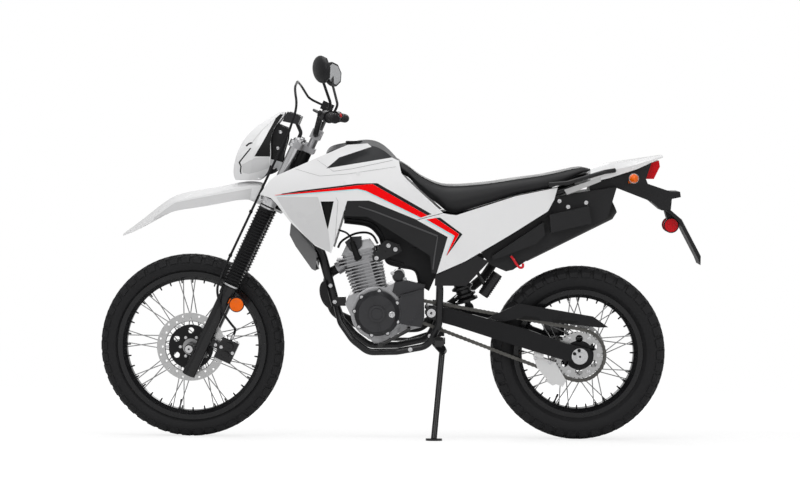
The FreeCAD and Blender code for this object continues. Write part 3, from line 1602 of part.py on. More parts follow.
def rear_lamps():
    """Side reflectors, tail lamp, and indicators on their stalks."""
    node(both_sides(round_bar(27, 8, (-1066, 20.3, 812), ACROSS)), "rear_reflectors")
    lamp = prism([(-984.4, 1044.5), (-1014, 1054), (-1018, 1031), (-996, 985), (-965.4, 985)], -40, 40)
    node(lamp, "tail_lamp")
    ball = Part.makeSphere(1.0)
    stretch = FreeCAD.Matrix()
    stretch.scale(Vector(17, 34, 17))
    bowl = ball.transformGeometry(stretch)
    bowl.translate(Vector(-910, 138, 990))
    stalk = rod((-905, 59.9, 975), (-908, 112, 986), 7)
    return node(both_sides(joined(stalk, shaped(bowl))), "rear_indicators")


def storage_boxes():
    """Air box with the tool box and the tail box at the left."""
    tool_box = prism([(-395, 699), (-583, 826), (-590, 778), (-557, 745), (-401, 685)], 80, 114)
    tail_box = prism([(-604, 854), (-640, 862), (-748, 887), (-759, 824), (-611, 787)], 80, 128)
    boss = rod((-430, 78, 830), (-430, 90.5, 830), 7)
    return node(cut(joined(air_box(), tool_box, tail_box, boss, mirrored(boss)), tyre_space()), "storage_boxes")


def grab_rails():
    """Round rails beside the seat's tail."""
    points = [(-600, 136, 966), (-668, 134, 972), (-805, 108, 1012), (-846, 87.8, 1018)]
    return node(both_sides(bent_tube(points, 8.0, 40)), "grab_rails")


# exhaust and small fittings


def port_mouth():
    """Centre of the exhaust port's mouth and its direction, in the upright machine."""
    local = Vector(0, PORT_SIDE, BARREL_TOP + 22) + PORT_WAY * PORT_LENGTH
    return ENGINE.multVec(local), ENGINE.Rotation.multVec(PORT_WAY)


MUFFLER_START = Vector(-470, -166, 684)
MUFFLER_RUN = Vector(-866, -172, 884) - MUFFLER_START
MUFFLER_WAY = Vector(MUFFLER_RUN).normalize()


def exhaust_pipe():
    """Header from the port at the front, round the right side, to the muffler."""
    mouth, way = port_mouth()
    points = [
        mouth + way * S.seat_gap, mouth + way * 34, (228, -74, 545), (196, -126, 455), (62, -142, 392),
        (-130, -146, 400), (-262, -150, 500), (-380, -158, 600), MUFFLER_START - MUFFLER_WAY * 60, MUFFLER_START,
    ]
    return node(grouped(bent_tube(points, 17.5, 60)), "exhaust_pipe")


def muffler():
    """Muffler rising at the right, on a hanger from the seat rail."""
    start = MUFFLER_START + MUFFLER_WAY * S.seat_gap
    end = MUFFLER_START + MUFFLER_RUN
    run = end - start
    body = rod(start + run * 0.12, start + run * 0.94, 56)
    nose = taper(24, 56, run.Length * 0.12, start, run)
    tail_cone = taper(56, 40, run.Length * 0.06, start + run * 0.94, run)
    bore = rod(start + run * 0.9, end + run * 0.1, 20)
    hanger = prism([(-572, 752), (-604, 760), (-606, 930), (-582, 930)], -109.2, -105.2)
    lug = rod((-588, -105.2, 766), (-588, -128, 766), 9)
    return node(cut(joined(nose, body, tail_cone, hanger, lug), bore), "muffler")


def foot_pegs():
    """Pegs on their brackets at both sides."""
    peg = block(34, 78, 20, (-220, 130, 376))
    root = block(26, 24, 34, (-212, 128.3, 364))
    return node(both_sides(joined(peg, root)), "foot_pegs")


def pedals():
    """Gear lever at the left and brake pedal at the right, fixed."""
    lever = joined(
        rod((-90, 56 + S.seat_gap, 422), (-90, 112, 422), 6),
        bent_tube([(-94, 108, 424), (-40, 126, 396), (15, 132, 368)], 6.5, 20),
        rod((15, 120, 368), (15, 158, 368), 9),
        merged=False,
    )
    pedal = joined(
        rod((-176, -128 - S.seat_gap, 384), (-176, -150, 384), 9),
        bent_tube([(-176, -142, 382), (-90, -176, 350), (10, -178, 350)], 7.0, 20),
        block(34, 30, 10, (0, -193, 348)),
        merged=False,
    )
    return node(grouped(lever, pedal), "pedals")


def horn():
    """Horn on its stay ahead of the down tube."""
    body = round_bar(38, 18, (262, 0, 672), (0.94, 0, -0.34))
    stay = cut(rod((238, 0, 681), (266, 0, 671), 6), down_tube(S.seat_gap))
    return node(joined(body, stay), "horn")


def rear_caliper():
    """Calliper inside the right beam, open over the disc."""
    z = S.rear_tyre_radius
    beam_face = BEAM_INNER - S.seat_gap
    body = block(78, beam_face - 43, 70, (REAR_X + 46, -beam_face, z + 58))
    return node(cut(body, disc_space(S.rear_disc_radius, -S.rear_disc_side, REAR_X, z)), "rear_caliper")


def side_stand():
    """Side stand: eye on its pin, leg, and a flat foot that lies on the ground when the machine leans."""
    level = Rotation(Vector(1, 0, 0), S.lean_angle)
    sole = moved(round_bar(S.stand_foot_radius, S.stand_foot_thickness), Placement(STAND_FOOT, level))
    ankle = STAND_FOOT + level.multVec(UP) * (S.stand_foot_thickness * 0.8)
    toward = (STAND_PIVOT - ankle).normalize()
    leg = rod(ankle, STAND_PIVOT - toward * 6, S.stand_radius)
    half = S.stand_eye_width / 2
    eye = moved(round_bar(15, S.stand_eye_width, (0, 0, -half)), stand_place())
    bore = moved(round_bar(S.stand_pin_radius + 0.08, 60, (0, 0, -30)), stand_place())
    beside = grouped(round_bar(24, 60, (0, 0, half)), round_bar(24, 60, (0, 0, -half - 60)))
    whole = joined(cut(leg, moved(beside, stand_place())), eye, sole)
    return node(cut(whole, bore), "side_stand")


engine()
engine_covers()
starter_motor()
intake()
node(tank_shape(), "fuel_tank")
node(both_sides(shroud()), "shrouds")
node(both_sides(side_panel()), "side_panels")
knee_covers()
seat()
tail_cowl()
rear_fender()
plate_holder()
rear_lamps()
storage_boxes()
grab_rails()
exhaust_pipe()
muffler()
foot_pegs()
pedals()
horn()
rear_caliper()
side_stand()


doc.recompute()
os.makedirs("parts", exist_ok=True)
for piece in doc.Objects:
    if "Invalid" in piece.State or "Error" in piece.State:
        raise RuntimeError(f"{piece.Label} did not build: {piece.State}")
for piece in NODES:
    if piece.Shape.isNull() or not piece.Shape.isValid():
        raise RuntimeError(f"{piece.Label} has no valid shape")
for piece in NODES:
    piece.Shape.exportStep(f"parts/{piece.Label}.step")
    print(piece.Label, len(piece.Shape.Solids), round(piece.Shape.Volume / 1000.0, 1))
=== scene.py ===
import bpy
import numpy as np
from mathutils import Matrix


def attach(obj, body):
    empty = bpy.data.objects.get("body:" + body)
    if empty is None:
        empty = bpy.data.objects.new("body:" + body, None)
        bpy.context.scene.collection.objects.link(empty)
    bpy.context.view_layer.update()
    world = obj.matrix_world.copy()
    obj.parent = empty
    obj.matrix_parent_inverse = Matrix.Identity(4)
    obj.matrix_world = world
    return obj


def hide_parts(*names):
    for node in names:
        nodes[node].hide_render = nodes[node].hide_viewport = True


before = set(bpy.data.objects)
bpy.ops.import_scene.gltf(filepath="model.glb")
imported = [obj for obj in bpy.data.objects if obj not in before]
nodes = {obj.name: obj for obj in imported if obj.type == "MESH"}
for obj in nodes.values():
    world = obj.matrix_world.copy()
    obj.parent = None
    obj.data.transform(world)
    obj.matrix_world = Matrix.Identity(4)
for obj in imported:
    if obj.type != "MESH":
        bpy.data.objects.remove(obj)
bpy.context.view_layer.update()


# Camera.
# A long lens level with the tank, square to the left side, as for a catalogue picture. The motorcycle
# leans 8 degrees onto its side stand, and the camera leans with it, so that it looks upright.
LEAN = np.radians(8.0)
FOOT = np.array([0.05175, -0.19045, 0.000448])
LEAN_TURN = np.array([
    [1.0, 0.0, 0.0],
    [0.0, np.cos(LEAN), np.sin(LEAN)],
    [0.0, -np.sin(LEAN), np.cos(LEAN)],
])
CAMERA_PLACE = (-129.2, 6500.0, 1216.0)
CAMERA_AIM = (-54.3, 0.0, 710.4)
CAMERA_ROLL = 0.00655
FOCAL_LENGTH = 78.1
SENSOR_WIDTH = 36.0
FARTHEST_SEEN = 60.0


def leaned(points):
    """Points of the upright motorcycle in millimetres, leaned over and in metres.

    x' = x + foot_x, y' = y cos a + z sin a + foot_y, z' = z cos a - y sin a + foot_z, where foot is
    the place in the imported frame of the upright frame's origin
    """
    return np.asarray(points, float) / 1000.0 @ LEAN_TURN.T + FOOT


def placed(name, data):
    """A new object that holds the data, in the scene."""
    made = bpy.data.objects.new(name, data)
    bpy.context.scene.collection.objects.link(made)
    return made


def look(obj, place, aim, up):
    """Turn an object so that its own -Z points from place to aim and its own Y leans towards up."""
    back = np.subtract(place, aim)
    back = back / np.linalg.norm(back)
    side = np.cross(up, back)
    side = side / np.linalg.norm(side)
    turn = np.eye(4)
    turn[:3, :3] = np.stack([side, np.cross(back, side), back], axis=1)
    turn[:3, 3] = place
    obj.matrix_world = [list(row) for row in turn.T]


camera_data = bpy.data.cameras.new("camera")
camera_data.lens = FOCAL_LENGTH
camera_data.sensor_width = SENSOR_WIDTH
camera_data.clip_end = FARTHEST_SEEN
camera = placed("camera", camera_data)
camera_up = LEAN_TURN @ np.array([np.sin(CAMERA_ROLL), 0.0, np.cos(CAMERA_ROLL)])
look(camera, leaned(CAMERA_PLACE), leaned(CAMERA_AIM), camera_up)
bpy.context.scene.camera = camera
bpy.context.scene.view_settings.view_transform = "Standard"


# Floor, backdrop and lamps.
# A sweep of white paper under soft studio lamps. Near the motorcycle it is lit and holds the shadow;
# further off it glows plain white, as the backdrop does, so that no edge shows.
PAPER_WHITE = (0.93, 0.93, 0.93, 1.0)
PLAIN_WHITE = (1.0, 1.0, 1.0, 1.0)
PAPER_ENDS = [-9.0, 9.0]
PAPER_GLOW = 1.16
LIT_REACH = (0.75, 1.9)
LEAST_GLOW = 0.62
ROOM_LIGHT = 0.40
MIRRORED_SHARE = 0.32
LAMP_AIM = (0.0, 0.0, 0.6)
LAMPS = (
    # name, place, diameter, power
    ("top_lamp", (0.3, 0.7, 3.6), 3.0, 54.0),
    ("side_lamp", (1.8, 4.0, 2.6), 2.0, 35.0),
    ("back_lamp", (-2.8, 3.0, 2.2), 1.8, 23.0),
    ("far_lamp", (0.2, -3.8, 2.6), 2.6, 40.0),
)


def grid_faces(rows, columns, around, along):
    """Corner numbers of the cells of a grid of points; around and along say which way it closes.

    Cell (i, j) has the corners (i, j), (i, j+1), (i+1, j+1), (i+1, j), counted modulo a closed side.
    """
    i = np.arange(rows if along else rows - 1)[:, None]
    j = np.arange(columns if around else columns - 1)[None, :]
    here = i * columns
    there = (i + 1) % rows * columns
    ahead = (j + 1) % columns
    return np.stack([here + j, here + ahead, there + ahead, there + j], axis=-1).reshape(-1, 4)


def surface(grid, around=False, along=False, capped=False):
    """Points and faces of a grid of points (rows, columns, 3), one four-sided face for each cell.

    Capped shuts the first and the last row, each with a fan of triangles to the mean of its points.
    """
    rows, columns = grid.shape[:2]
    points = grid.reshape(-1, 3)
    faces = grid_faces(rows, columns, around, along).tolist()
    if capped:
        points = np.concatenate([points, grid[[0, -1]].mean(axis=1)])
        ring = np.arange(columns)
        step = (ring + 1) % columns
        last = (rows - 1) * columns
        faces += np.stack([step, ring, np.full(columns, rows * columns)], axis=1).tolist()
        faces += np.stack([last + ring, last + step, np.full(columns, rows * columns + 1)], axis=1).tolist()
    return points, faces


def solid_from(name, *parts):
    """One mesh object from (points, faces) parts, each turned outwards where its volume is negative.

    volume ~ sum over corners of each face, fanned from its first, of (a - m) . ((b - m) x (c - m))
    """
    all_points, all_faces, start = [], [], 0
    for points, faces in parts:
        fans = np.array([(f[0], f[k], f[k + 1]) for f in faces for k in range(1, len(f) - 1)])
        a, b, c = (points[fans] - points.mean(axis=0)).transpose(1, 0, 2)
        inside_out = np.einsum("ij,ij->", a, np.cross(b, c)) < 0.0
        all_faces += [[start + k for k in (reversed(face) if inside_out else face)] for face in faces]
        all_points.append(points)
        start += len(points)
    mesh = bpy.data.meshes.new(name)
    mesh.from_pydata(np.concatenate(all_points).tolist(), [], all_faces)
    mesh.validate()
    mesh.update()
    return placed(name, mesh)


def node(tree, kind, inputs=None, operation=None):
    """A new shader node, with its operation and some of its inputs set, by name or number."""
    made = tree.nodes.new(kind)
    if operation:
        made.operation = operation
    for socket, value in (inputs or {}).items():
        made.inputs[socket].default_value = value
    return made


def wire(tree, *links):
    """Join nodes: each link is (node, its output, next node, its input)."""
    for source, output, target, socket in links:
        tree.links.new(source.outputs[output], target.inputs[socket])


corners = np.stack(np.meshgrid(PAPER_ENDS, PAPER_ENDS, [0.0], indexing="ij"), axis=-1)[:, :, 0]
floor = solid_from("floor", surface(corners))
paper = bpy.data.materials.new("white_paper")
paper.use_nodes = True
paper_tree = paper.node_tree
paper_shader = paper_tree.nodes["Principled BSDF"]
paper_shader.inputs["Roughness"].default_value = 0.9
paper_shader.inputs["Base Color"].default_value = PAPER_WHITE
paper_place = node(paper_tree, "ShaderNodeTexCoord")
paper_oval = node(paper_tree, "ShaderNodeMapping", {"Scale": (0.62, 1.0, 1.0)})
paper_length = node(paper_tree, "ShaderNodeVectorMath", operation="LENGTH")
paper_reach = node(paper_tree, "ShaderNodeMapRange", {"From Min": LIT_REACH[0], "From Max": LIT_REACH[1]})
paper_reach.interpolation_type = "SMOOTHSTEP"
paper_grain = node(paper_tree, "ShaderNodeTexNoise", {"Scale": 260.0})
paper_relief = node(paper_tree, "ShaderNodeBump", {"Strength": 0.02})
paper_glow = node(paper_tree, "ShaderNodeEmission", {"Strength": PAPER_GLOW})
paper_path = node(paper_tree, "ShaderNodeLightPath")
paper_least = node(paper_tree, "ShaderNodeMath", {1: LEAST_GLOW}, operation="MAXIMUM")
paper_seen = node(paper_tree, "ShaderNodeMath", operation="MULTIPLY")
paper_mix = node(paper_tree, "ShaderNodeMixShader")
wire(
    paper_tree,
    (paper_place, "Object", paper_oval, "Vector"), (paper_oval, "Vector", paper_length, 0),
    (paper_length, "Value", paper_reach, "Value"), (paper_place, "Object", paper_grain, "Vector"),
    (paper_grain, "Fac", paper_relief, "Height"), (paper_relief, "Normal", paper_shader, "Normal"),
    (paper_reach, "Result", paper_least, 0), (paper_least, "Value", paper_seen, 0),
    (paper_path, "Is Camera Ray", paper_seen, 1), (paper_seen, "Value", paper_mix, "Fac"),
    (paper_shader, "BSDF", paper_mix, 1), (paper_glow, "Emission", paper_mix, 2),
    (paper_mix, "Shader", paper_tree.nodes["Material Output"], "Surface"),
)
floor.data.materials.append(paper)

world = bpy.data.worlds.new("studio")
world.use_nodes = True
bpy.context.scene.world = world
world_tree = world.node_tree
room = world_tree.nodes["Background"]
room.inputs["Color"].default_value = PLAIN_WHITE
room.inputs["Strength"].default_value = ROOM_LIGHT
seen = node(world_tree, "ShaderNodeBackground", {"Color": PLAIN_WHITE, "Strength": 1.0})
path = node(world_tree, "ShaderNodeLightPath")
shown = node(world_tree, "ShaderNodeMath", operation="MAXIMUM")
mirrored = node(world_tree, "ShaderNodeMath", {1: MIRRORED_SHARE}, operation="MULTIPLY")
either = node(world_tree, "ShaderNodeMath", operation="MAXIMUM")
mixed = node(world_tree, "ShaderNodeMixShader")
wire(
    world_tree,
    (path, "Is Camera Ray", shown, 0), (path, "Is Transmission Ray", shown, 1),
    (path, "Is Glossy Ray", mirrored, 0), (shown, "Value", either, 0), (mirrored, "Value", either, 1),
    (either, "Value", mixed, "Fac"), (room, "Background", mixed, 1), (seen, "Background", mixed, 2),
    (mixed, "Shader", world_tree.nodes["World Output"], "Surface"),
)

for lamp_name, lamp_place, diameter, power in LAMPS:
    lamp_data = bpy.data.lights.new(lamp_name, "AREA")
    lamp_data.shape = "DISK"
    lamp_data.size = diameter
    lamp_data.energy = power
    look(placed(lamp_name, lamp_data), lamp_place, LAMP_AIM, (1.0, 0.0, 0.1))


# Frame.
# Round and box tubes of black painted steel, welded into one cradle with plates at the pivot. Zinc
# bolts hold the engine in it at the head, behind the crankcase and under it.
LEFT = (0, 1, 0)
HEAD_HANGER = [(-62, 712), (-52, 735), (-6, 752), (8, 746), (48, 690), (44, 674), (24, 671), (-44, 701)]
HANGER_BOLTS = [(-12, 70, 732), (-38, 70, 718), (32, 70, 685)]
CRADLE_BOLTS = [(-96, 117, 350), (-169, 114, 400)]


def finish_of(name, colour, rough, grain, bump, metal=0.0, mottle=0.12, coat=0.0, spec=0.2,
              rough_spread=0.12, rings=None):
    """Material whose colour, roughness and relief vary with noise on object coordinates.

    A broad noise mixes the colour towards a darker or lighter tone and moves the roughness; a fine
    noise gives the grain. rings is (axle, [(inner radius, colour, metal), ...]) for a wheel part:
    colour and metal then step with the distance from the axle at (x, z).
    """
    made = bpy.data.materials.new(name)
    made.use_nodes = True
    tree = made.node_tree
    shader = tree.nodes["Principled BSDF"]
    shader.inputs["Metallic"].default_value = metal
    shader.inputs["Coat Weight"].default_value = coat
    shader.inputs["Coat Roughness"].default_value = 0.06
    shader.inputs["Specular IOR Level"].default_value = spec
    place = node(tree, "ShaderNodeTexCoord")
    broad = node(tree, "ShaderNodeTexNoise", {"Scale": 14.0, "Detail": 6.0})
    fine = node(tree, "ShaderNodeTexNoise", {"Scale": grain, "Detail": 3.0})
    shade = node(tree, "ShaderNodeMapRange", {"To Min": 1.0 - mottle, "To Max": 1.0 + mottle})
    duller, glossier = min(1.0, rough + rough_spread), max(0.02, rough - rough_spread)
    sheen = node(tree, "ShaderNodeMapRange", {"To Min": glossier, "To Max": duller})
    relief = node(tree, "ShaderNodeBump", {"Strength": bump, "Distance": 0.0004})
    tone = node(tree, "ShaderNodeMix")
    tone.data_type = "RGBA"
    tone.blend_type = "MULTIPLY"
    tone.inputs["Factor"].default_value = 1.0
    tone.inputs["A"].default_value = (*colour, 1.0)
    wire(
        tree,
        (place, "Object", broad, "Vector"), (place, "Object", fine, "Vector"),
        (broad, "Fac", shade, "Value"), (shade, "Result", tone, "B"),
        (tone, "Result", shader, "Base Color"), (broad, "Fac", sheen, "Value"),
        (sheen, "Result", shader, "Roughness"), (fine, "Fac", relief, "Height"),
        (relief, "Normal", shader, "Normal"),
    )
    if rings:
        (x, z), steps = rings
        starts, colours, metals = zip(*steps)
        level = node(tree, "ShaderNodeMapping")
        level.vector_type = "TEXTURE"
        level.inputs["Location"].default_value = leaned((x, 0.0, z))
        level.inputs["Rotation"].default_value = (-LEAN, 0.0, 0.0)
        flat = node(tree, "ShaderNodeVectorMath", {1: (1.0, 0.0, 1.0)}, operation="MULTIPLY")
        reach = node(tree, "ShaderNodeVectorMath", operation="LENGTH")
        wire(tree, (place, "Object", level, "Vector"), (level, "Vector", flat, 0), (flat, "Vector", reach, 0))
        for target, socket, values in (
            (tone, "A", colours), (shader, "Metallic", [(value,) * 3 for value in metals]),
        ):
            ramp = node(tree, "ShaderNodeValToRGB")
            ramp.color_ramp.interpolation = "CONSTANT"
            for k, (start, value) in enumerate(zip(starts, values)):
                if k > 1:
                    ramp.color_ramp.elements.new(start / 1000.0)
                stop = ramp.color_ramp.elements[k]
                stop.position = start / 1000.0
                stop.color = (*value, 1.0)
            wire(tree, (reach, "Value", ramp, "Fac"), (ramp, "Color", target, socket))
    return made


def dress(material, *names):
    """Give CAD nodes one material."""
    for name in names:
        nodes[name].data.materials.clear()
        nodes[name].data.materials.append(material)


def lathe(profile, foot, way, sides=24):
    """Closed surface of rings round a line: profile is (along, radius) pairs in millimetres.

    point = foot + a w + r (cos t u + sin t v), with u, v, w square to each other
    """
    w = np.asarray(way, float) / np.linalg.norm(way)
    u = np.cross(w, [0.0, 0.0, 1.0] if abs(w[2]) < 0.9 else [1.0, 0.0, 0.0])
    u = u / np.linalg.norm(u)
    angle = 2.0 * np.pi * np.arange(sides) / sides
    spoke = np.cos(angle)[:, None] * u + np.sin(angle)[:, None] * np.cross(w, u)
    profile = np.asarray(profile, float)
    grid = np.asarray(foot, float) + profile[:, :1, None] * w + profile[:, 1:, None] * spoke
    return surface(grid, around=True, capped=True)


def bolts(spots, way, size):
    """Surfaces of hexagon bolts on washers, a washer and a head of six sides with a dished top."""
    washer = [(-1.0, 1.25 * size), (1.2, 1.25 * size), (1.4, 1.1 * size)]
    head = [(1.0, size), (0.62 * size, size), (0.7 * size, 0.86 * size), (0.6 * size, 0.5 * size)]
    made = []
    for spot in spots:
        made += [lathe(washer, spot, way, 16), lathe(head, spot, way, 6)]
    return made


def prism(outline, start, end):
    """Closed plate between two sides: the (x, z) outline, once at y = start and once at y = end."""
    flat = np.asarray(outline, float)
    grid = np.stack([np.insert(flat, 1, start, axis=1), np.insert(flat, 1, end, axis=1)])
    points = grid.reshape(-1, 3)
    count = len(flat)
    faces = grid_faces(2, count, True, False).tolist()
    faces += [list(range(count))[::-1], list(range(count, 2 * count))]
    return points, faces


def finished(piece, material, body, angle):
    """A piece smoothed, broken where faces meet at more than the angle, dressed and hung on a body."""
    piece.data.shade_smooth()
    piece.data.set_sharp_from_angle(angle=np.radians(angle))
    piece.data.materials.append(material)
    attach(piece, body)
    return piece


def built(name, material, body, slot, *parts, replaces=(), angle=40.0):
    """A finished piece from surfaces in millimetres of the upright motorcycle, leaned over."""
    piece = solid_from(name, *[(leaned(points), faces) for points, faces in parts])
    finished(piece, material, body, angle)
    if replaces:
        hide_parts(*replaces)
    return piece


def zinc_bolts(name, spots, way, size, body="chassis"):
    """Zinc-plated bolts or screws of one size, as one piece."""
    return built(name, zinc, body, "silver_alloy", *bolts(spots, way, size))


black_steel = finish_of("black_steel", (0.011, 0.011, 0.012), rough=0.3, grain=400.0, bump=0.02, coat=0.3)
zinc = finish_of("zinc", (0.62, 0.62, 0.63), rough=0.28, metal=0.9, grain=900.0, bump=0.08)
dress(black_steel, "frame")
built("head_hanger", black_steel, "chassis", "black_steel", prism(HEAD_HANGER, 66.4, 69.6))
zinc_bolts("frame_bolts", HANGER_BOLTS + CRADLE_BOLTS, LEFT, 6.5)


# Swingarm, pivot bolt and rear axle.
# A box-section steel arm, painted black, hung on a through bolt behind the engine. The axle is drawn
# back in it by two snail cams, plain zinc plates with two holes in each.
CAM_HOLES = [(-722, 350), (-705, 338)]
CAM_SIDE = 109.0

swingarm_paint = finish_of("swingarm_paint", (0.012, 0.012, 0.013), rough=0.36, metal=0.2, grain=900.0,
                           bump=0.05)
dress(swingarm_paint, "swingarm")
dress(zinc, "pivot_bolt", "rear_axle")
pin_black = finish_of("pin_black", (0.006, 0.006, 0.006), rough=0.5, grain=700.0, bump=0.05)
built("cam_holes", pin_black, "chassis", "black_steel", *[
    lathe([(-0.5, 6.5), (0.5, 6.5), (0.9, 5.6)], (x, side * CAM_SIDE, z), (0, side, 0), 20)
    for x, z in CAM_HOLES for side in (1, -1)
])


# Rear shock.
# A single shock behind the engine: a wound black steel spring round its damper, and a ribbed alloy
# reservoir fixed along it.
RESERVOIR = np.array([[-420.0, 40.0, 628.0], [-366.0, 40.0, 546.0]])
RESERVOIR_RIBS = np.linspace(0.12, 0.9, 10)


def band(start, end, inner, outer):
    """Profile of a flat band, from start to end along its line and from the inner to the outer radius."""
    return [(start, inner), (start, outer), (end, outer), (end, inner)]


shock_black = finish_of("shock_black", (0.016, 0.016, 0.017), rough=0.3, grain=500.0, bump=0.02, coat=0.3)
dress(shock_black, "rear_shock")
reservoir_way = RESERVOIR[1] - RESERVOIR[0]
built("reservoir_ribs", shock_black, "chassis", "spring_steel", *[
    lathe(band(-1.6, 1.6, 19.0, 22.5), RESERVOIR[0] + share * reservoir_way, reservoir_way, 28)
    for share in RESERVOIR_RIBS
])


# Wheel rims.
# Rolled black alloy rims laced with 36 thin zinc spokes to cast hubs. The nipples are black, and the
# tube's valve stands in through the rim.
FRONT_AXLE, REAR_AXLE = (725.0, 345.5), (-725.0, 328.0)
RIM_BLACK, SPOKE_GREY, HUB_GREY = (0.010, 0.010, 0.011), (0.30, 0.30, 0.30), (0.34, 0.34, 0.345)
RIMS = (
    # wheel, axle, radius inside the rim, angle of the valve, rings of the finish
    ("front", FRONT_AXLE, 248.0, -78.0, [(0, HUB_GREY, 0.8), (46, SPOKE_GREY, 0.8), (244, RIM_BLACK, 0.1)]),
    ("rear", REAR_AXLE, 210.0, -66.0, [(0, RIM_BLACK, 0.2), (70, SPOKE_GREY, 0.8), (206, RIM_BLACK, 0.1)]),
)
SPOKE_TURNS = np.arange(36) * np.pi / 18.0
NIPPLE_SIDES = np.tile([-6.0, 6.0], 18)
NIPPLE = [(0.0, 3.2), (-9.0, 2.6), (-12.0, 2.2)]
VALVE = [(-4.0, 5.0), (6.0, 5.0), (7.0, 3.4), (24.0, 3.2), (24.0, 4.0), (34.0, 4.0), (36.0, 3.0)]

for wheel, (x, z), rim, valve_angle, rings in RIMS:
    rim_look = finish_of(wheel + "_rim_look", RIM_BLACK, rough=0.26, grain=700.0, bump=0.03, coat=0.3,
                         rings=((x, z), rings))
    dress(rim_look, wheel + "_rim")
    nipples = [
        lathe(NIPPLE, (x + rim * np.cos(a), side, z + rim * np.sin(a)), (np.cos(a), 0.0, np.sin(a)), 8)
        for a, side in zip(SPOKE_TURNS, NIPPLE_SIDES)
    ]
    a = np.radians(valve_angle)
    valve = lathe(VALVE, (x + rim * np.cos(a), 0.0, z + rim * np.sin(a)), (-np.cos(a), 0.0, -np.sin(a)), 12)
    built(wheel + "_nipples", pin_black, wheel + "_wheel", "black_rim", *nipples, valve)


# Tyres.
# Trail tyres of black rubber, moulded with rows of blocks for road and dirt. Each is one carcass at the
# foot of the tread with its blocks set on it, pressed on the rim's bead seats.
TYRES = {
    "front": dict(axle=FRONT_AXLE, radius=345.5, width=92.0, bead=268.0, rim=56.0, rows=46),
    "rear": dict(axle=REAR_AXLE, radius=328.0, width=118.0, bead=230.0, rim=72.0, rows=42),
}
TREAD_DEPTH = 6.6
BLOCK_FOOT = -1.5
BLOCK_TAPER = 0.88


def spun(profile, count, axle):
    """Rings of a (radius, side) profile turned about the axle at (x, z).

    point = (x + r cos a, s, z + r sin a), a = 2 pi k / count
    """
    angle = 2.0 * np.pi * np.arange(count) / count
    r = profile[:, 0][:, None]
    side = np.broadcast_to(profile[:, 1][:, None], (len(profile), count))
    return np.stack([axle[0] + r * np.cos(angle), side, axle[1] + r * np.sin(angle)], axis=-1)


def smooth_line(points, count):
    """Points evenly along a smooth cubic curve through the given points a, b, c, d, ...

    p(t) = ((2 b) + (c - a) t + (2a - 5b + 4c - d) t^2 + (3b - a - 3c + d) t^3) / 2
    """
    points = np.asarray(points, float)
    padded = np.concatenate([2 * points[:1] - points[1:2], points, 2 * points[-1:] - points[-2:-1]])
    spans = len(padded) - 3
    at = np.linspace(0.0, spans, count)
    span = np.minimum(at.astype(int), spans - 1)
    t = (at - span)[:, None]
    a, b, c, d = (padded[span + k] for k in range(4))
    return 0.5 * (2 * b + (c - a) * t + (2 * a - 5 * b + 4 * c - d) * t**2 + (3 * b - a - 3 * c + d) * t**3)


def block_set(frames, half_long, half_wide, high):
    """Points and faces of many tapered blocks; frames is (n, 4, 3): foot, along, across and up.

    corner = foot + u along + v across + h up, with u and v times the taper at the top
    """
    corner = np.array([[-1, -1], [1, -1], [1, 1], [-1, 1]], float) * [half_long, half_wide]
    low = np.concatenate([corner, np.full((4, 1), BLOCK_FOOT)], axis=1)
    top = np.concatenate([corner * BLOCK_TAPER, np.full((4, 1), high)], axis=1)
    local = np.concatenate([low, top])
    points = frames[:, 0][:, None] + np.einsum("kj,njc->nkc", local, frames[:, 1:])
    faces = np.array([[0, 1, 5, 4], [1, 2, 6, 5], [2, 3, 7, 6], [3, 0, 4, 7], [4, 5, 6, 7], [3, 2, 1, 0]])
    every = faces[None] + 8 * np.arange(len(frames))[:, None, None]
    return points.reshape(-1, 3), every.reshape(-1, 4).tolist()


def tread_frames(axle, radius, side, tilt, count, share, skew):
    """Frames of one row of blocks round a wheel: up leans sideways by tilt, along is turned by skew."""
    angle = 2.0 * np.pi * (np.arange(count) + share) / count
    out = np.stack([np.cos(angle), np.zeros(count), np.sin(angle)], axis=1)
    round_way = np.stack([-np.sin(angle), np.zeros(count), np.cos(angle)], axis=1)
    left = np.broadcast_to(np.array(LEFT, float), out.shape)
    up = out * np.cos(tilt) + left * np.sin(tilt)
    across = left * np.cos(tilt) - out * np.sin(tilt)
    along = round_way * np.cos(skew) + across * np.sin(skew)
    across = across * np.cos(skew) - round_way * np.sin(skew)
    foot = np.array([axle[0], 0.0, axle[1]]) + out * radius + left * side
    return np.stack([foot, along, across, up], axis=1)


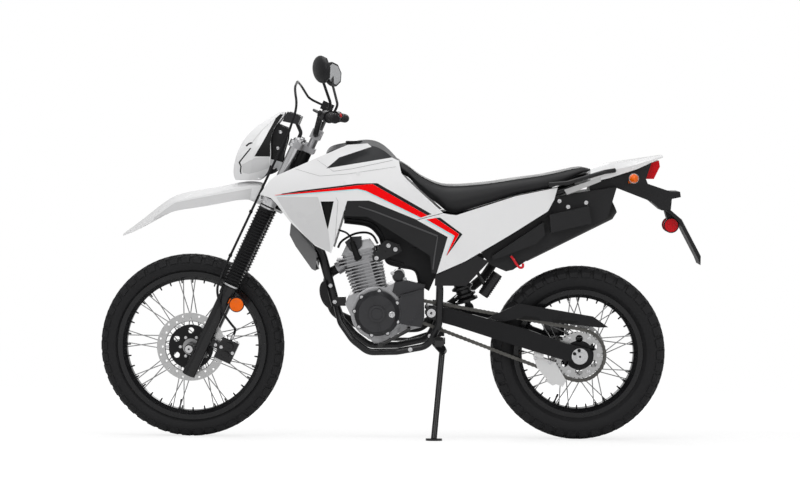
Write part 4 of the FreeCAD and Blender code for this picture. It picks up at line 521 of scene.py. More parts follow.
def tyre_parts(axle, radius, width, bead, rim, rows):
    """Surfaces of one tyre in bike millimetres: the carcass, then its rows of tread blocks.

    rim is the width between the beads. The carcass is a closed section, outside and inside, spun.
    """
    half, deep, pitch = width / 2, radius - bead, np.pi * radius / rows
    foot = rim / 2 - 1.3
    base = radius - TREAD_DEPTH + 2.2
    right = [
        (bead + 1.0, foot - 8.0), (bead + 2.0, foot), (bead + 13.0, foot + 0.6),
        (bead + 0.24 * deep, half * 0.80), (bead + 0.28 * deep, half * 0.86),
        (bead + 0.42 * deep, half * 0.95), (bead + 0.58 * deep, half * 0.985),
        (bead + 0.72 * deep, half * 0.93), (bead + 0.84 * deep, half * 0.72), (base - 1.8, half * 0.36),
        (base, 0.0),
    ]
    line = smooth_line(right, 34)
    whole = np.concatenate([line, (line * [1.0, -1.0])[-2::-1]])
    inside = [
        (bead + 3.0, -foot + 9.0), (bead + 0.5 * deep, -half + 12.0), (base - 10.0, 0.0),
        (bead + 0.5 * deep, half - 12.0), (bead + 3.0, foot - 9.0),
    ]
    section = np.concatenate([whole, inside])
    parts = [surface(spun(section, 144, axle).transpose(1, 0, 2), around=True, along=True)]
    for out, level, tilt, share, long, wide, high, skews in (
        # share of the half width, foot's radius, tilt, share of a step, length, width, height, skews
        (0.13, base - 0.2, 0.10, 0.00, 0.39, 0.105, 3.8, (0.10, 0.10)),
        (0.42, base - 4.2, 0.26, 0.42, 0.38, 0.13, 4.2, (-0.16, 0.16)),
        (0.77, bead + 0.82 * deep, 0.72, 0.00, 0.38, 0.12, 4.6, (0.0, 0.0)),
        (0.95, bead + 0.70 * deep, 1.30, 0.00, 0.34, 0.085, 4.2, (0.0, 0.0)),
    ):
        for side, late, skew in ((1, 0.0, skews[0]), (-1, 0.5, skews[1])):
            frames = tread_frames(axle, level, side * half * out, side * tilt, rows, share + late, skew)
            parts.append(block_set(frames, long * 2 * pitch, wide * 2 * half, high))
    return parts


rubber = finish_of("tyre_rubber", (0.014, 0.014, 0.015), rough=0.6, grain=900.0, bump=0.3, mottle=0.25)
for wheel, sizes in TYRES.items():
    built(wheel + "_tread", rubber, wheel + "_wheel", "tyre_rubber", *tyre_parts(**sizes),
          replaces=(wheel + "_tyre",), angle=38.0)


# Brake discs.
# Stainless rings, drilled for cooling, riveted to black carriers that bolt to the hubs with six
# screws each.
STEEL_FACE = (0.52, 0.52, 0.52)
DISCS = (
    # wheel, axle, side, reach of the screws, reach of the rivets, radius of the carrier
    ("front", FRONT_AXLE, 58.0, 40.0, 89.0, 95),
    ("rear", REAR_AXLE, -64.0, 44.0, 75.0, 81),
)
SIXTHS = np.arange(6) * np.pi / 3.0


def on_circle(centre, reach, side, turns):
    """Points at y = side on a circle about (x, z): (x + r cos a, side, z + r sin a) for each angle."""
    return [(centre[0] + reach * np.cos(a), side, centre[1] + reach * np.sin(a)) for a in turns]


for wheel, axle, side, reach, rivet_reach, carrier in DISCS:
    disc_look = finish_of(
        wheel + "_disc_look", STEEL_FACE, rough=0.3, grain=700.0, bump=0.06,
        rings=(axle, [(0, HUB_GREY, 0.8), (29, RIM_BLACK, 0.2), (carrier, STEEL_FACE, 1.0)]),
    )
    dress(disc_look, wheel + "_disc")
    way = (0.0, np.sign(side), 0.0)
    screws = bolts(on_circle(axle, reach, side, SIXTHS), way, 4.5)
    rivets = [lathe([(-1.0, 6.5), (1.2, 6.5), (1.6, 5.6), (1.0, 3.0)], spot, way, 16)
              for spot in on_circle(axle, rivet_reach, side, SIXTHS)]
    built(wheel + "_disc_screws", zinc, wheel + "_wheel", "silver_alloy", *screws, *rivets)


# Rear sprocket.
# A flat zinc-plated steel plate with 38 teeth and six windows, held by six bolts to a black carrier on
# the hub.
sprocket_look = finish_of("sprocket_look", STEEL_FACE, rough=0.34, grain=900.0, bump=0.1,
                          rings=(REAR_AXLE, [(0, RIM_BLACK, 0.2), (53, (0.5, 0.5, 0.5), 0.85)]))
dress(sprocket_look, "rear_sprocket")
built("sprocket_bolts", zinc, "rear_wheel", "disc_steel",
      *bolts(on_circle(REAR_AXLE, 72.0, 72.8, SIXTHS), LEFT, 6.0))


# Drive chain.
# Pressed steel side plates, pinned in pairs over hardened rollers, in one endless loop round both
# sprockets. It is oiled, so it is darker in its joints.
CHAIN_PITCH = 15.875
CHAIN_SIDE = 70.0
DRIVE_SHAFT = (-98.0, 499.0)
REAR_TEETH, FRONT_TEETH = 38.0, 14.0
PLATE_THICK = 1.6
PLATE_SHAPE = np.array([
    # share of the pitch along, millimetres across
    (0.0, -6.6), (0.5, -5.0), (1.0, -6.6), (1.33, -4.6), (1.42, 0.0), (1.33, 4.6),
    (1.0, 6.6), (0.5, 5.0), (0.0, 6.6), (-0.33, 4.6), (-0.42, 0.0), (-0.33, -4.6),
])


def chain_pins():
    """Places of the pins, evenly along the two straight runs and the two arcs, as (x, z) rows.

    A sprocket's pitch radius is pitch / (2 sin(pi / teeth)); the tangent points lie at the heading of
    the centre line plus and minus acos((R - r) / distance).
    """
    big = CHAIN_PITCH / (2.0 * np.sin(np.pi / REAR_TEETH))
    small = CHAIN_PITCH / (2.0 * np.sin(np.pi / FRONT_TEETH))
    rear, front = np.array(REAR_AXLE), np.array(DRIVE_SHAFT)
    run = front - rear
    heading = np.arctan2(run[1], run[0])
    spread = np.arccos((big - small) / np.hypot(*run))
    over = np.linspace(heading + spread, heading - spread, 400)
    under = np.linspace(heading - spread, heading + spread - 2.0 * np.pi, 900)
    loop = np.concatenate([
        front + small * np.stack([np.cos(over), np.sin(over)], axis=1),
        rear + big * np.stack([np.cos(under), np.sin(under)], axis=1),
    ])
    loop = np.concatenate([loop, loop[:1]])
    length = np.concatenate([[0.0], np.cumsum(np.hypot(*np.diff(loop, axis=0).T))])
    count = 2 * int(round(length[-1] / CHAIN_PITCH / 2.0))
    at = np.arange(count) * length[-1] / count
    return np.stack([np.interp(at, length, loop[:, k]) for k in (0, 1)], axis=1)


def link_plates(starts, ends, side):
    """Waisted plates from pin to pin: 12 corners round the two eyes and in at the waist.

    corner = start + s (end - start) + t across, at y = side and again at y = side + thickness
    """
    way = (ends - starts) / np.hypot(*(ends - starts).T)[:, None]
    across = np.stack([-way[:, 1], way[:, 0]], axis=1)
    along = (ends - starts)[:, None] * PLATE_SHAPE[None, :, :1]
    flat = starts[:, None] + along + across[:, None] * PLATE_SHAPE[None, :, 1:]
    count, corners = flat.shape[:2]
    near = np.insert(flat, 1, side, axis=2)
    far = np.insert(flat, 1, side + PLATE_THICK, axis=2)
    points = np.concatenate([near, far], axis=1).reshape(-1, 3)
    k = np.arange(corners)
    sides = np.stack([k, (k + 1) % corners, (k + 1) % corners + corners, k + corners], axis=1)
    start = 2 * corners * np.arange(count)
    faces = (sides[None] + start[:, None, None]).reshape(-1, 4).tolist()
    faces += (k[::-1][None] + start[:, None]).tolist() + ((k + corners)[None] + start[:, None]).tolist()
    return points, faces


pins = chain_pins()
following = np.roll(pins, -1, axis=0)
rollers = [lathe([(-6.9, 4.9), (6.9, 4.9)], (x, CHAIN_SIDE, z), LEFT, 8) for x, z in pins]
heads = [lathe([(-8.4, 2.6), (8.4, 2.6)], (x, CHAIN_SIDE, z), LEFT, 6) for x, z in pins]
plates = [
    link_plates(pins[k::2], following[k::2], CHAIN_SIDE + side * offset - PLATE_THICK / 2)
    for k, offset in ((0, 5.0), (1, 6.9)) for side in (1, -1)
]
chain_steel = finish_of("chain_steel", (0.115, 0.112, 0.105), rough=0.42, metal=0.85, grain=260.0, bump=0.2,
                        mottle=0.5)
built("chain_links", chain_steel, "chassis", "disc_steel", *rollers, *heads, *plates, replaces=("chain",))


# Chain guard.
# A guard of black moulded plastic over the upper run, with two long slots, held to the swingarm by two
# screws.
GUARD_FACE = 88.2
GUARD_SLOTS = (
    [(-493, 462), (-522, 476), (-572, 470), (-582, 459)],
    [(-617, 464), (-631, 452), (-697, 446), (-722, 456)],
)

guard_black = finish_of("guard_black", (0.012, 0.012, 0.013), rough=0.42, grain=2400.0, bump=0.15)
dress(guard_black, "chain_guard")
built("guard_slots", pin_black, "chassis", "black_plastic",
      *[prism(slot, GUARD_FACE, GUARD_FACE + 0.5) for slot in GUARD_SLOTS])
built("guard_screws", guard_black, "chassis", "black_plastic",
      *bolts([(-438, GUARD_FACE, 464), (-650, GUARD_FACE, 470)], LEFT, 5.0))


# Chain guide.
# A fin of pale nylon under the swingarm that keeps the lower run in line, held by two screws.
nylon = finish_of("nylon", (0.74, 0.74, 0.74), rough=0.45, grain=1600.0, bump=0.08, mottle=0.05)
dress(nylon, "chain_guide")
zinc_bolts("guide_screws", [(-562, 82.3, 316), (-617, 82.3, 300)], LEFT, 5.5)


# Crankcase.
# Two halves of die-cast alloy, bead-blasted, joined by screws along the middle. Lugs round the left
# cover's seat stand proud.
COVER_CENTRE = (28.0, 481.0)
LUG_ANGLES = (46.0, 95.0, 152.0, 202.0, 242.0, 284.0, 323.0, 5.0)
LUG_REACH = 84.0

silver_cast = finish_of("silver_cast", (0.40, 0.40, 0.41), rough=0.4, metal=0.75, grain=1500.0, bump=0.3)
dress(silver_cast, "crankcase")
dark_cast = finish_of("dark_cast", (0.045, 0.045, 0.048), rough=0.38, metal=0.4, grain=1500.0, bump=0.2,
                      coat=0.1)
lug_turns = np.radians(LUG_ANGLES)
built("cover_lugs", dark_cast, "chassis", "dark_cover", *[
    lathe([(-2.0, 9.5), (15.5, 9.0), (16.5, 8.0)], spot, LEFT, 18)
    for spot in on_circle(COVER_CENTRE, LUG_REACH, 78.0, lug_turns)
])
zinc_bolts("cover_screws", on_circle(COVER_CENTRE, LUG_REACH, 94.4, lug_turns), LEFT, 5.0)
built("case_rim", silver_cast, "chassis", "engine_alloy",
      lathe([(-1.0, 99.0), (8.0, 99.0), (9.0, 97.5), (9.0, 88.0)],
            (COVER_CENTRE[0], 70.0, COVER_CENTRE[1]), LEFT, 64))


# Cylinder and head.
# A finned barrel and head of sand-cast alloy, leaning forward. The spark plug's black cap stands in a
# recess at the left, whose shade is painted by a dark plate, and its lead runs up under the tank with a
# breather hose.
HEAD_RECESS_SHADE = [(151, 742), (132, 711), (112, 700), (87, 730), (89, 765), (125, 763)]
PLUG_CAP = [(124, 66, 746), (118, 66, 728), (108, 66, 700), (99, 64, 678)]
PLUG_LEAD = [(122, 67, 742), (130, 72, 764), (146, 78, 780), (172, 80, 790), (196, 74, 806)]
BREATHER = [(176, 50, 722), (166, 57, 742), (146, 58, 758), (111, 56, 775), (72, 56, 779), (46, 58, 768),
            (28, 60, 738)]


def tube(points, radius, sides=12, steps=32):
    """Closed tube along a smooth curve through the points.

    point = p + r (cos t n + sin t b), where n is square to the curve and to the left, and b = way x n
    """
    line = smooth_line(points, steps)
    way = np.gradient(line, axis=0)
    way = way / np.linalg.norm(way, axis=1)[:, None]
    n = np.cross(way, LEFT)
    n = n / np.linalg.norm(n, axis=1)[:, None]
    b = np.cross(way, n)
    angle = 2.0 * np.pi * np.arange(sides) / sides
    radii = np.broadcast_to(radius, len(line))[:, None, None]
    ring = np.cos(angle)[None, :, None] * n[:, None] + np.sin(angle)[None, :, None] * b[:, None]
    return surface(line[:, None] + radii * ring, around=True, capped=True)


dress(silver_cast, "cylinder")
# Painted shade: a dark plate where the plug's recess lies in shade.
built("head_recess_shade", dark_cast, "chassis", "dark_cover", prism(HEAD_RECESS_SHADE, 40.0, 55.2))
built(
    "spark_plug_cap", pin_black, "chassis", "black_plastic",
    tube(PLUG_CAP, np.linspace(8.5, 12.5, 24), 16, 24), tube(PLUG_LEAD, 3.6), tube(BREATHER, 4.2, 10, 40),
    lathe([(-3.0, 15.0), (2.0, 15.0), (4.0, 11.0)], (101, 62, 684), (0.3, 0.0, 0.95), 20),
)


# Engine covers.
# Cast covers in dark grey paint: the round generator cover with its ring, plug and three short ribs,
# the clutch cover at the right, and the drive sprocket's cover behind, with a raised rib along it.
RIGHT = (0, -1, 0)
COVER_PLUG = (-27.0, 111.6, 479.0)
SHAFT_FACE = 96.6
SHAFT_COVER = [(-28, 562), (-36, 596), (-84, 604), (-150, 588), (-146, 573), (-62, 553), (-52, 541)]
SHAFT_RIB = [(-66, 546), (-70, 552), (-138, 573), (-139, 567)]
SHAFT_EDGE = [(-92, 446), (-122, 478), (-136, 520), (-140, 519), (-126, 475), (-96, 443)]
RIB_ANGLES = (74.0, 140.0, 262.0)
RIB_CORNERS = ((33.0, 2.4), (66.0, 2.4), (66.0, -2.4), (33.0, -2.4))
CLUTCH_CENTRE = (-2.0, 480.0)
CLUTCH_ANGLES = (20.0, 80.0, 140.0, 200.0, 260.0, 320.0)

dress(dark_cast, "engine_covers")
built("cover_plug", zinc, "chassis", "silver_alloy",
      lathe([(0.0, 11.5), (3.0, 11.5), (4.2, 10.0), (4.2, 6.0), (2.6, 4.5)], COVER_PLUG, LEFT, 24))
built(
    "cover_ring", dark_cast, "chassis", "dark_cover",
    lathe([(0.0, 30.0), (6.6, 30.0), (7.4, 28.0), (5.6, 22.0)],
          (COVER_CENTRE[0], 112.0, COVER_CENTRE[1]), LEFT, 40),
    prism(SHAFT_COVER, 60.0, 84.0),
    *[prism(rib, SHAFT_FACE, far) for rib, far in ((SHAFT_RIB, 100.5), (SHAFT_EDGE, 98.6))],
)
cover_ribs = []
for a in np.radians(RIB_ANGLES):
    out, aside = np.array([np.cos(a), np.sin(a)]), np.array([-np.sin(a), np.cos(a)])
    corners = [COVER_CENTRE + reach * out + across * aside for reach, across in RIB_CORNERS]
    cover_ribs.append(prism(corners, 111.0, 114.4))
built("cover_ribs", dark_cast, "chassis", "dark_cover", *cover_ribs)
zinc_bolts("clutch_screws", on_circle(CLUTCH_CENTRE, 69.0, -101.8, np.radians(CLUTCH_ANGLES)), RIGHT, 5.0)


# Starter motor.
# A small electric motor in a dark steel can, lying across the crankcase behind the barrel, with two
# zinc screws through its flange.
dress(dark_cast, "starter_motor")
plain_alloy = finish_of("plain_alloy", (0.56, 0.56, 0.56), rough=0.35, metal=0.75, grain=1300.0, bump=0.12)
zinc_bolts("starter_screws", [(-27, 53, 627), (-74, 53, 606)], LEFT, 6.0)
built("starter_ring", plain_alloy, "chassis", "silver_alloy",
      lathe([(0.0, 24.5), (5.0, 24.5), (6.5, 22.6)], (-50, 44, 617.2), LEFT, 36))


# Intake.
# A throttle body on the back of the head and the moulded rubber duct from it to the air box, each
# end closed by a plated band clamp.
THROTTLE_START = np.array([33.3, 0.0, 703.2])
THROTTLE_WAY = np.array([-0.9636, 0.0, 0.2672])

duct_rubber = finish_of("duct_rubber", (0.014, 0.014, 0.015), rough=0.5, grain=1300.0, bump=0.1)
dress(duct_rubber, "intake")
built("band_clamps", zinc, "chassis", "silver_alloy", *[
    lathe(band(-4.0, 4.0, radius, radius + 1.4), THROTTLE_START + reach * THROTTLE_WAY, THROTTLE_WAY, 36)
    for reach, radius in ((12.0, 24.0), (80.0, 27.0))
])


# Down tube guard.
# A stone guard of black plastic beside the down tube, moulded as half an oval plate and held by two
# zinc screws.
GUARD_CENTRE = (214.0, 543.0)
GUARD_HALF = (30.0, 54.0)
GUARD_LEAN = 0.28
GUARD_ARC = np.linspace(np.radians(-78.0), np.radians(102.0), 22)

wide, tall = GUARD_HALF[0] * np.cos(GUARD_ARC), GUARD_HALF[1] * np.sin(GUARD_ARC)
# x = centre + a cos t cos q + b sin t sin q, z = centre + b sin t cos q - a cos t sin q
guard = np.stack([
    GUARD_CENTRE[0] + wide * np.cos(GUARD_LEAN) + tall * np.sin(GUARD_LEAN),
    GUARD_CENTRE[1] + tall * np.cos(GUARD_LEAN) - wide * np.sin(GUARD_LEAN),
], axis=1)
built("stone_guard", guard_black, "chassis", "black_plastic", prism(guard, 18.0, 30.0))
zinc_bolts("guard_bolts", [(205, 30.4, 577), (189, 30.4, 516)], LEFT, 6.0)


# Horn.
# A round electric horn in a pressed steel shell, painted black, bolted ahead of the down tube.
dress(black_steel, "horn")


# Exhaust pipe and muffler.
# A bent steel header in heat-proof black paint and a rolled muffler with a black end cap, on a hanger
# from the seat rail. A pressed heat shield is screwed along its outer side.
MUFFLER_ENDS = np.array([[-470.0, -166.0, 684.0], [-866.0, -172.0, 884.0]])
SHIELD_OUTSIDE, SHIELD_INSIDE = 58.6, 56.8
SHIELD_BOW = np.linspace(-0.9, 0.9, 17)
SHIELD_SPAN = np.linspace(0.24, 0.82, 13)

heat_black = finish_of("heat_black", (0.020, 0.020, 0.020), rough=0.5, metal=0.3, grain=1100.0, bump=0.12)
dress(heat_black, "exhaust_pipe", "muffler")
muffler_run = MUFFLER_ENDS[1] - MUFFLER_ENDS[0]
muffler_way = muffler_run / np.linalg.norm(muffler_run)
shield_out = np.cross(muffler_way, [0.0, 0.0, 1.0])
shield_out = shield_out * np.sign(-shield_out[1]) / np.linalg.norm(shield_out)
shield_up = np.cross(muffler_way, shield_out)
bowed = np.cos(SHIELD_BOW)[:, None] * shield_out + np.sin(SHIELD_BOW)[:, None] * shield_up
middle = (MUFFLER_ENDS[0] + SHIELD_SPAN[:, None] * muffler_run)[:, None]
shield = np.concatenate([middle + SHIELD_OUTSIDE * bowed, (middle + SHIELD_INSIDE * bowed)[:, ::-1]], axis=1)
shield_black = finish_of("shield_black", (0.014, 0.014, 0.015), rough=0.3, grain=900.0, bump=0.03, coat=0.4)
built("heat_shield", shield_black, "chassis", "black_steel", surface(shield, around=True, capped=True))
shield_spots = [MUFFLER_ENDS[0] + share * muffler_run + 58.4 * shield_out for share in (0.3, 0.76)]
zinc_bolts("shield_screws", shield_spots, shield_out, 5.0)


# Foot pegs.
# Steel castings on pins through the frame's plates, each with a top of ribbed rubber pressed into it.
CLEAT = [(-217, 394), (-190, 394), (-192, 399.5), (-215, 399.5)]


def paired(outline, near, far):
    """The same plate at the left side, from y = near to y = far, and mirrored at the right."""
    return [prism(outline, *sorted((side * near, side * far))) for side in (1, -1)]


peg_steel = finish_of("peg_steel", (0.05, 0.05, 0.05), rough=0.4, metal=0.6, grain=800.0, bump=0.1)
dress(peg_steel, "foot_pegs")
peg_rubber = finish_of("peg_rubber", (0.018, 0.018, 0.018), rough=0.6, grain=900.0, bump=0.15)
built("peg_cleats", peg_rubber, "chassis", "boot_rubber",
      *[cleat for y in np.linspace(136.0, 200.0, 7) for cleat in paired(CLEAT, y, y + 5.0)])


# Gear lever and brake pedal.
# Bent steel rods with a peg welded on at the end, each turning on a pin beside the engine.
dress(peg_steel, "pedals")


# Side stand.
# A bent steel leg with a flat foot, painted black, folding on a pin in its bracket by the left peg.
dress(black_steel, "side_stand")


# Fork legs, boots and tubes.
# Cast lower legs painted black, ribbed rubber boots and hard-chromed tubes, held by a zinc band at each
# end of a boot.
UP = (0, 0, 1)
STEER_FOOT = (658.84, 314.65)
STEER_COS, STEER_SIN = 0.9063, 0.4226
LEG_FEET = [(35.0, side * 97.0, 0.0) for side in (1, -1)]
BOOT_ENDS = ((280.0, 30.1), (599.0, 27.1))


def steered(points):
    """Points of the steering frame (ahead, left, up its axis) in bike millimetres.

    x = foot_x + u cos q - w sin q, y = v, z = foot_z + u sin q + w cos q, with q = 25 degrees
    """
    u, v, w = np.moveaxis(np.asarray(points, float), -1, 0)
    ahead = STEER_FOOT[0] + STEER_COS * u - STEER_SIN * w
    above = STEER_FOOT[1] + STEER_SIN * u + STEER_COS * w
    return np.stack([ahead, v, above], axis=-1)


def built_on_fork(name, material, slot, *parts, angle=40.0):
    """A finished piece from surfaces in millimetres of the steering frame, on the steering body."""
    turned = [(steered(points), faces) for points, faces in parts]
    return built(name, material, "steering", slot, *turned, angle=angle)


def hoop(profile, foot, way, sides=32):
    """Closed ring: the (along, radius) profile is itself a closed loop turned round the line.

    point = foot + a w + r (cos t u + sin t v), as for a turned piece but without its ends
    """
    points, _ = lathe(profile, foot, way, sides)
    grid = points[:-2].reshape(len(profile), sides, 3)
    return surface(grid, around=True, along=True)


leg_black = finish_of("leg_black", (0.008, 0.008, 0.009), rough=0.22, grain=900.0, bump=0.02, coat=0.4)
boot_rubber = finish_of("boot_rubber", (0.011, 0.011, 0.012), rough=0.38, grain=900.0, bump=0.06)
chrome = finish_of("chrome", (0.62, 0.62, 0.63), rough=0.16, metal=1.0, grain=500.0, bump=0.01,
                   rough_spread=0.06)
dress(leg_black, "fork_legs")
dress(boot_rubber, "fork_boots")
dress(chrome, "fork_tubes", "front_axle")
built_on_fork("boot_bands", zinc, "silver_alloy", *[
    hoop(band(w - 3.0, w + 3.0, r, r + 1.0), foot, UP) for foot in LEG_FEET for w, r in BOOT_ENDS])


# Fork clamps.
# Forged alloy clamps: the lower one black with the stem, each end closed by a bright collar, the upper
# one bare, with cap screws in the tubes and pinch bolts behind them.
TUBE_CAP = [(868.0, 17.0), (877.0, 17.0), (879.0, 15.0), (879.0, 9.0), (883.0, 9.0), (884.0, 7.5)]
STEM_NUT = [(866.0, 16.0), (877.0, 16.0), (878.5, 14.0)]
PINCH_BOLTS = [(49.0, side * 124.0, w) for side in (1, -1) for w in (614.0, 629.0, 849.0, 861.0)]

dress(leg_black, "lower_clamp")
dress(silver_cast, "upper_clamp")
bright_alloy = finish_of("bright_alloy", (0.66, 0.66, 0.67), rough=0.3, metal=0.7, grain=900.0, bump=0.1)
built_on_fork(
    "clamp_caps", bright_alloy, "silver_alloy",
    *[hoop(band(608.0, 634.0, 27.6, 28.3), foot, UP, 40) for foot in LEG_FEET],
    *[lathe(TUBE_CAP, foot, UP, 24) for foot in LEG_FEET],
    lathe(STEM_NUT, (0, 0, 0), UP, 6), *bolts(PINCH_BOLTS, LEFT, 4.5),
)


# Brake callipers.
# Black cast callipers, the front one clamped to the left leg. Its two piston bores are closed by turned
# caps, and zinc screws hold its halves and its bracket.
CALLIPER_SCREWS = [(-78.0, 79.0, 48.0), (-30.0, 79.0, 51.0), (-8.0, 87.0, 51.0)]

dress(leg_black, "front_caliper", "rear_caliper")
built_on_fork("piston_caps", black_steel, "black_alloy", *[
    lathe([(0.0, 13.0), (1.5, 13.0), (2.0, 11.5), (0.8, 8.0)], (-56.0, 90.0, w), LEFT, 28) for w in (30, 66)])
built_on_fork("calliper_screws", zinc, "silver_alloy", *bolts(CALLIPER_SCREWS, LEFT, 5.0))


# Brake hose.
# A rubber hose from the lever's cylinder to the calliper, crimped there in a plated sleeve and led down
# the leg through two black guides.
dress(boot_rubber, "front_hose")
built_on_fork("hose_sleeves", zinc, "silver_alloy",
              lathe([(0.0, 6.2), (16.0, 6.2), (18.0, 5.2)], (-52, 62, 92), UP, 16))
built_on_fork("hose_guides", pin_black, "black_plastic", *[
    hoop(band(w - 5.0, w + 5.0, 5.0, 6.6), (82.0, 100.8, 0.0), UP, 16) for w in (380.0, 560.0)])


# Front side reflectors.
# Round amber reflectors pressed into black rims, on a tab behind each leg. The lens is moulded in
# concentric steps.
REFLECTOR_RIM = [(-0.6, 24.0), (-0.6, 28.2), (8.6, 28.2), (10.0, 26.4), (9.2, 25.0)]

amber_lens = finish_of("amber_lens", (0.95, 0.15, 0.0), rough=0.18, grain=420.0, bump=0.35, coat=0.3,
                       mottle=0.25, spec=0.1)
dress(amber_lens, "fork_reflectors")
rims, steps = [], []
for side in (1, -1):
    centre, way = (-17.0, side * 113.0, 226.0), (0, side, 0)
    rims.append(hoop(REFLECTOR_RIM, centre, way, 40))
    steps += [hoop([(8.8, r), (9.7, r + 0.8), (8.8, r + 3.4)], centre, way, 40) for r in (3.0, 10.0, 17.0)]
built_on_fork("reflector_rims", pin_black, "black_plastic", *rims)
built_on_fork("reflector_steps", amber_lens, "amber_lens", *steps)


# Headlamp cowl.
# A white moulded mask over the lamp, with flat facets at its sides and a narrow brow at its upper front
# edge, both painted a darker white as shade. It is cut away behind, where black brackets with zinc bolts
# show, and a dark joint runs down its front edge.
COWL_HALF, COWL_SHOULDER, COWL_SLOPE = 92.0, 1110.0, 0.32
COWL_CUT = (
    [(400, 1219), (428, 1166), (452, 1120), (486, 1059)],
    [(380, 1219), (414, 1166), (427, 1110), (427, 1059)],
)
COWL_JOINTS = [
    ([(507, 1094), (532, 1062), (552, 1034), (545, 1016), (549, 990), (547, 976)],
     [(502, 1092), (527, 1060), (546, 1034), (540, 1016), (544, 990), (543, 976)]),
    ([(504, 1118), (517, 1115), (527, 1106)], [(498, 1114), (512, 1110), (523, 1101)]),
]
COWL_FACET_SHADE = (
    [(538, 1024), (512, 1040), (480, 1054), (431, 1057)],
    [(538, 984), (512, 978), (478, 984), (431, 1010)],
)
COWL_BROW_SHADE = ([(500, 1119), (466, 1160), (410, 1212)], [(498, 1117), (463.6, 1158), (408, 1210)])
LAMP_BRACKET = [
    (409, 1184), (362, 1165), (366, 1122), (380, 1075), (389, 1018), (418, 996), (456, 984), (466, 1000),
    (428, 1051), (424, 1098), (452, 1104), (436, 1141),
]
BRACKET_BOLTS = [(392, 42, 1150), (402, 42, 1090), (416, 42, 1018)]


def resampled(line, count):
    """Points spread evenly along a broken line of (x, z) points."""
    line = np.asarray(line, float)
    length = np.concatenate([[0.0], np.cumsum(np.hypot(*np.diff(line, axis=0).T))])
    at = np.linspace(0.0, length[-1], count)
    return np.stack([np.interp(at, length, line[:, k]) for k in (0, 1)], axis=1)


def laid_on(target, first, second, start, side, thick=0.5, along=50, across=7):
    """Thin skin between two edges, drawn in side view and pressed onto a node's outer face.

    start(x, z) is the half width that the skin is dropped from. Each point goes to the nearest point
    of the node, 0.3 mm above it; a copy moved out sideways by thick closes the skin. It is in metres.
    """
    share = np.linspace(0.0, 1.0, across)[:, None, None]
    flat = (1.0 - share) * resampled(first, along) + share * resampled(second, along)
    grid = np.insert(flat, 1, side * start(flat[..., 0], flat[..., 1]), axis=2)
    mesh = bpy.data.meshes.new("pressing")
    mesh.from_pydata(leaned(grid.reshape(-1, 3)).tolist(), [], grid_faces(across, along, False, False).tolist())
    pressed = placed("pressing", mesh)
    wrap = pressed.modifiers.new("wrap", "SHRINKWRAP")
    wrap.target = nodes[target]
    wrap.wrap_mode = "ABOVE_SURFACE"
    wrap.offset = 0.0003
    done = pressed.evaluated_get(bpy.context.evaluated_depsgraph_get())
    points = np.empty(3 * len(done.data.vertices))
    done.data.vertices.foreach_get("co", points)
    bpy.data.objects.remove(pressed)
    low = points.reshape(across, along, 3)
    high = low + thick / 1000.0 * (LEAN_TURN @ np.array([0.0, side, 0.0]))
    ring = np.concatenate([low, high[::-1]], axis=0).transpose(1, 0, 2)
    return surface(ring, around=True, capped=True)


def pressed_on(name, target, edges, start, material, slot="white_plastic", body="chassis", **sizes):
    """The same skins on both sides of a node, one for each pair of edges, as one finished piece."""
    parts = [laid_on(target, a, b, start, side, **sizes) for a, b in edges for side in (1, -1)]
    return finished(solid_from(name, *parts), material, body, 35.0)


def cowl_side(x, z):
    """Half width a little outside the cowl's side: 92, and above its shoulder less 0.32 (z - 1110)."""
    return np.where(z < COWL_SHOULDER, COWL_HALF, COWL_HALF - COWL_SLOPE * (z - COWL_SHOULDER))


white_plastic = finish_of("white_plastic", (0.84, 0.84, 0.845), rough=0.26, grain=300.0, bump=0.01,
                          mottle=0.012, coat=0.4, rough_spread=0.04)
# Painted shade: a darker copy of the white plastic, for facets and edges turned away from the lamps.
shaded_white = finish_of("shaded_white", (0.66, 0.66, 0.665), rough=0.3, grain=300.0, bump=0.01, mottle=0.015,
                        coat=0.3)
dress(white_plastic, "headlight_cowl")
for name, edges, material, slot, sizes in (
    ("cowl_cut", [COWL_CUT], pin_black, "black_plastic", {}),
    ("cowl_joints", COWL_JOINTS, pin_black, "black_plastic", dict(across=3)),
    # painted shade: the side facets and the brow in the darker white
    ("cowl_facet_shade", [COWL_FACET_SHADE], shaded_white, "white_plastic", dict(thick=0.25)),
    ("cowl_brow_shade", [COWL_BROW_SHADE], shaded_white, "white_plastic", dict(thick=0.4, across=3)),
):
    pressed_on(name, "headlight_cowl", edges, cowl_side, material, slot, "steering", **sizes)
built("lamp_brackets", black_steel, "steering", "black_steel", *paired(LAMP_BRACKET, 38.0, 42.0))
zinc_bolts("bracket_bolts", BRACKET_BOLTS, LEFT, 5.0, "steering")


# Headlamp.
# A square lamp of clear moulded plastic in a black rim, leaning back with the cowl. A bright ring and a
# small cap shade the bulb in its middle.
LAMP_HALF = 42.0
LAMP_WAY = (0.992, 0.0, 0.124)
LAMP_CENTRE = (530.0, 0.0, 1056.0)
LAMP_TOP = [(525.0, 1098.0), (527.4, 1098.0), (526.4, 1105.0), (524.0, 1105.0)]
LAMP_FOOT = [(536.2, 1006.0), (538.6, 1006.0), (537.6, 1013.0), (535.2, 1013.0)]
LAMP_SIDE = [(535.8, 1008.0), (538.4, 1008.0), (526.6, 1104.0), (523.8, 1104.0)]

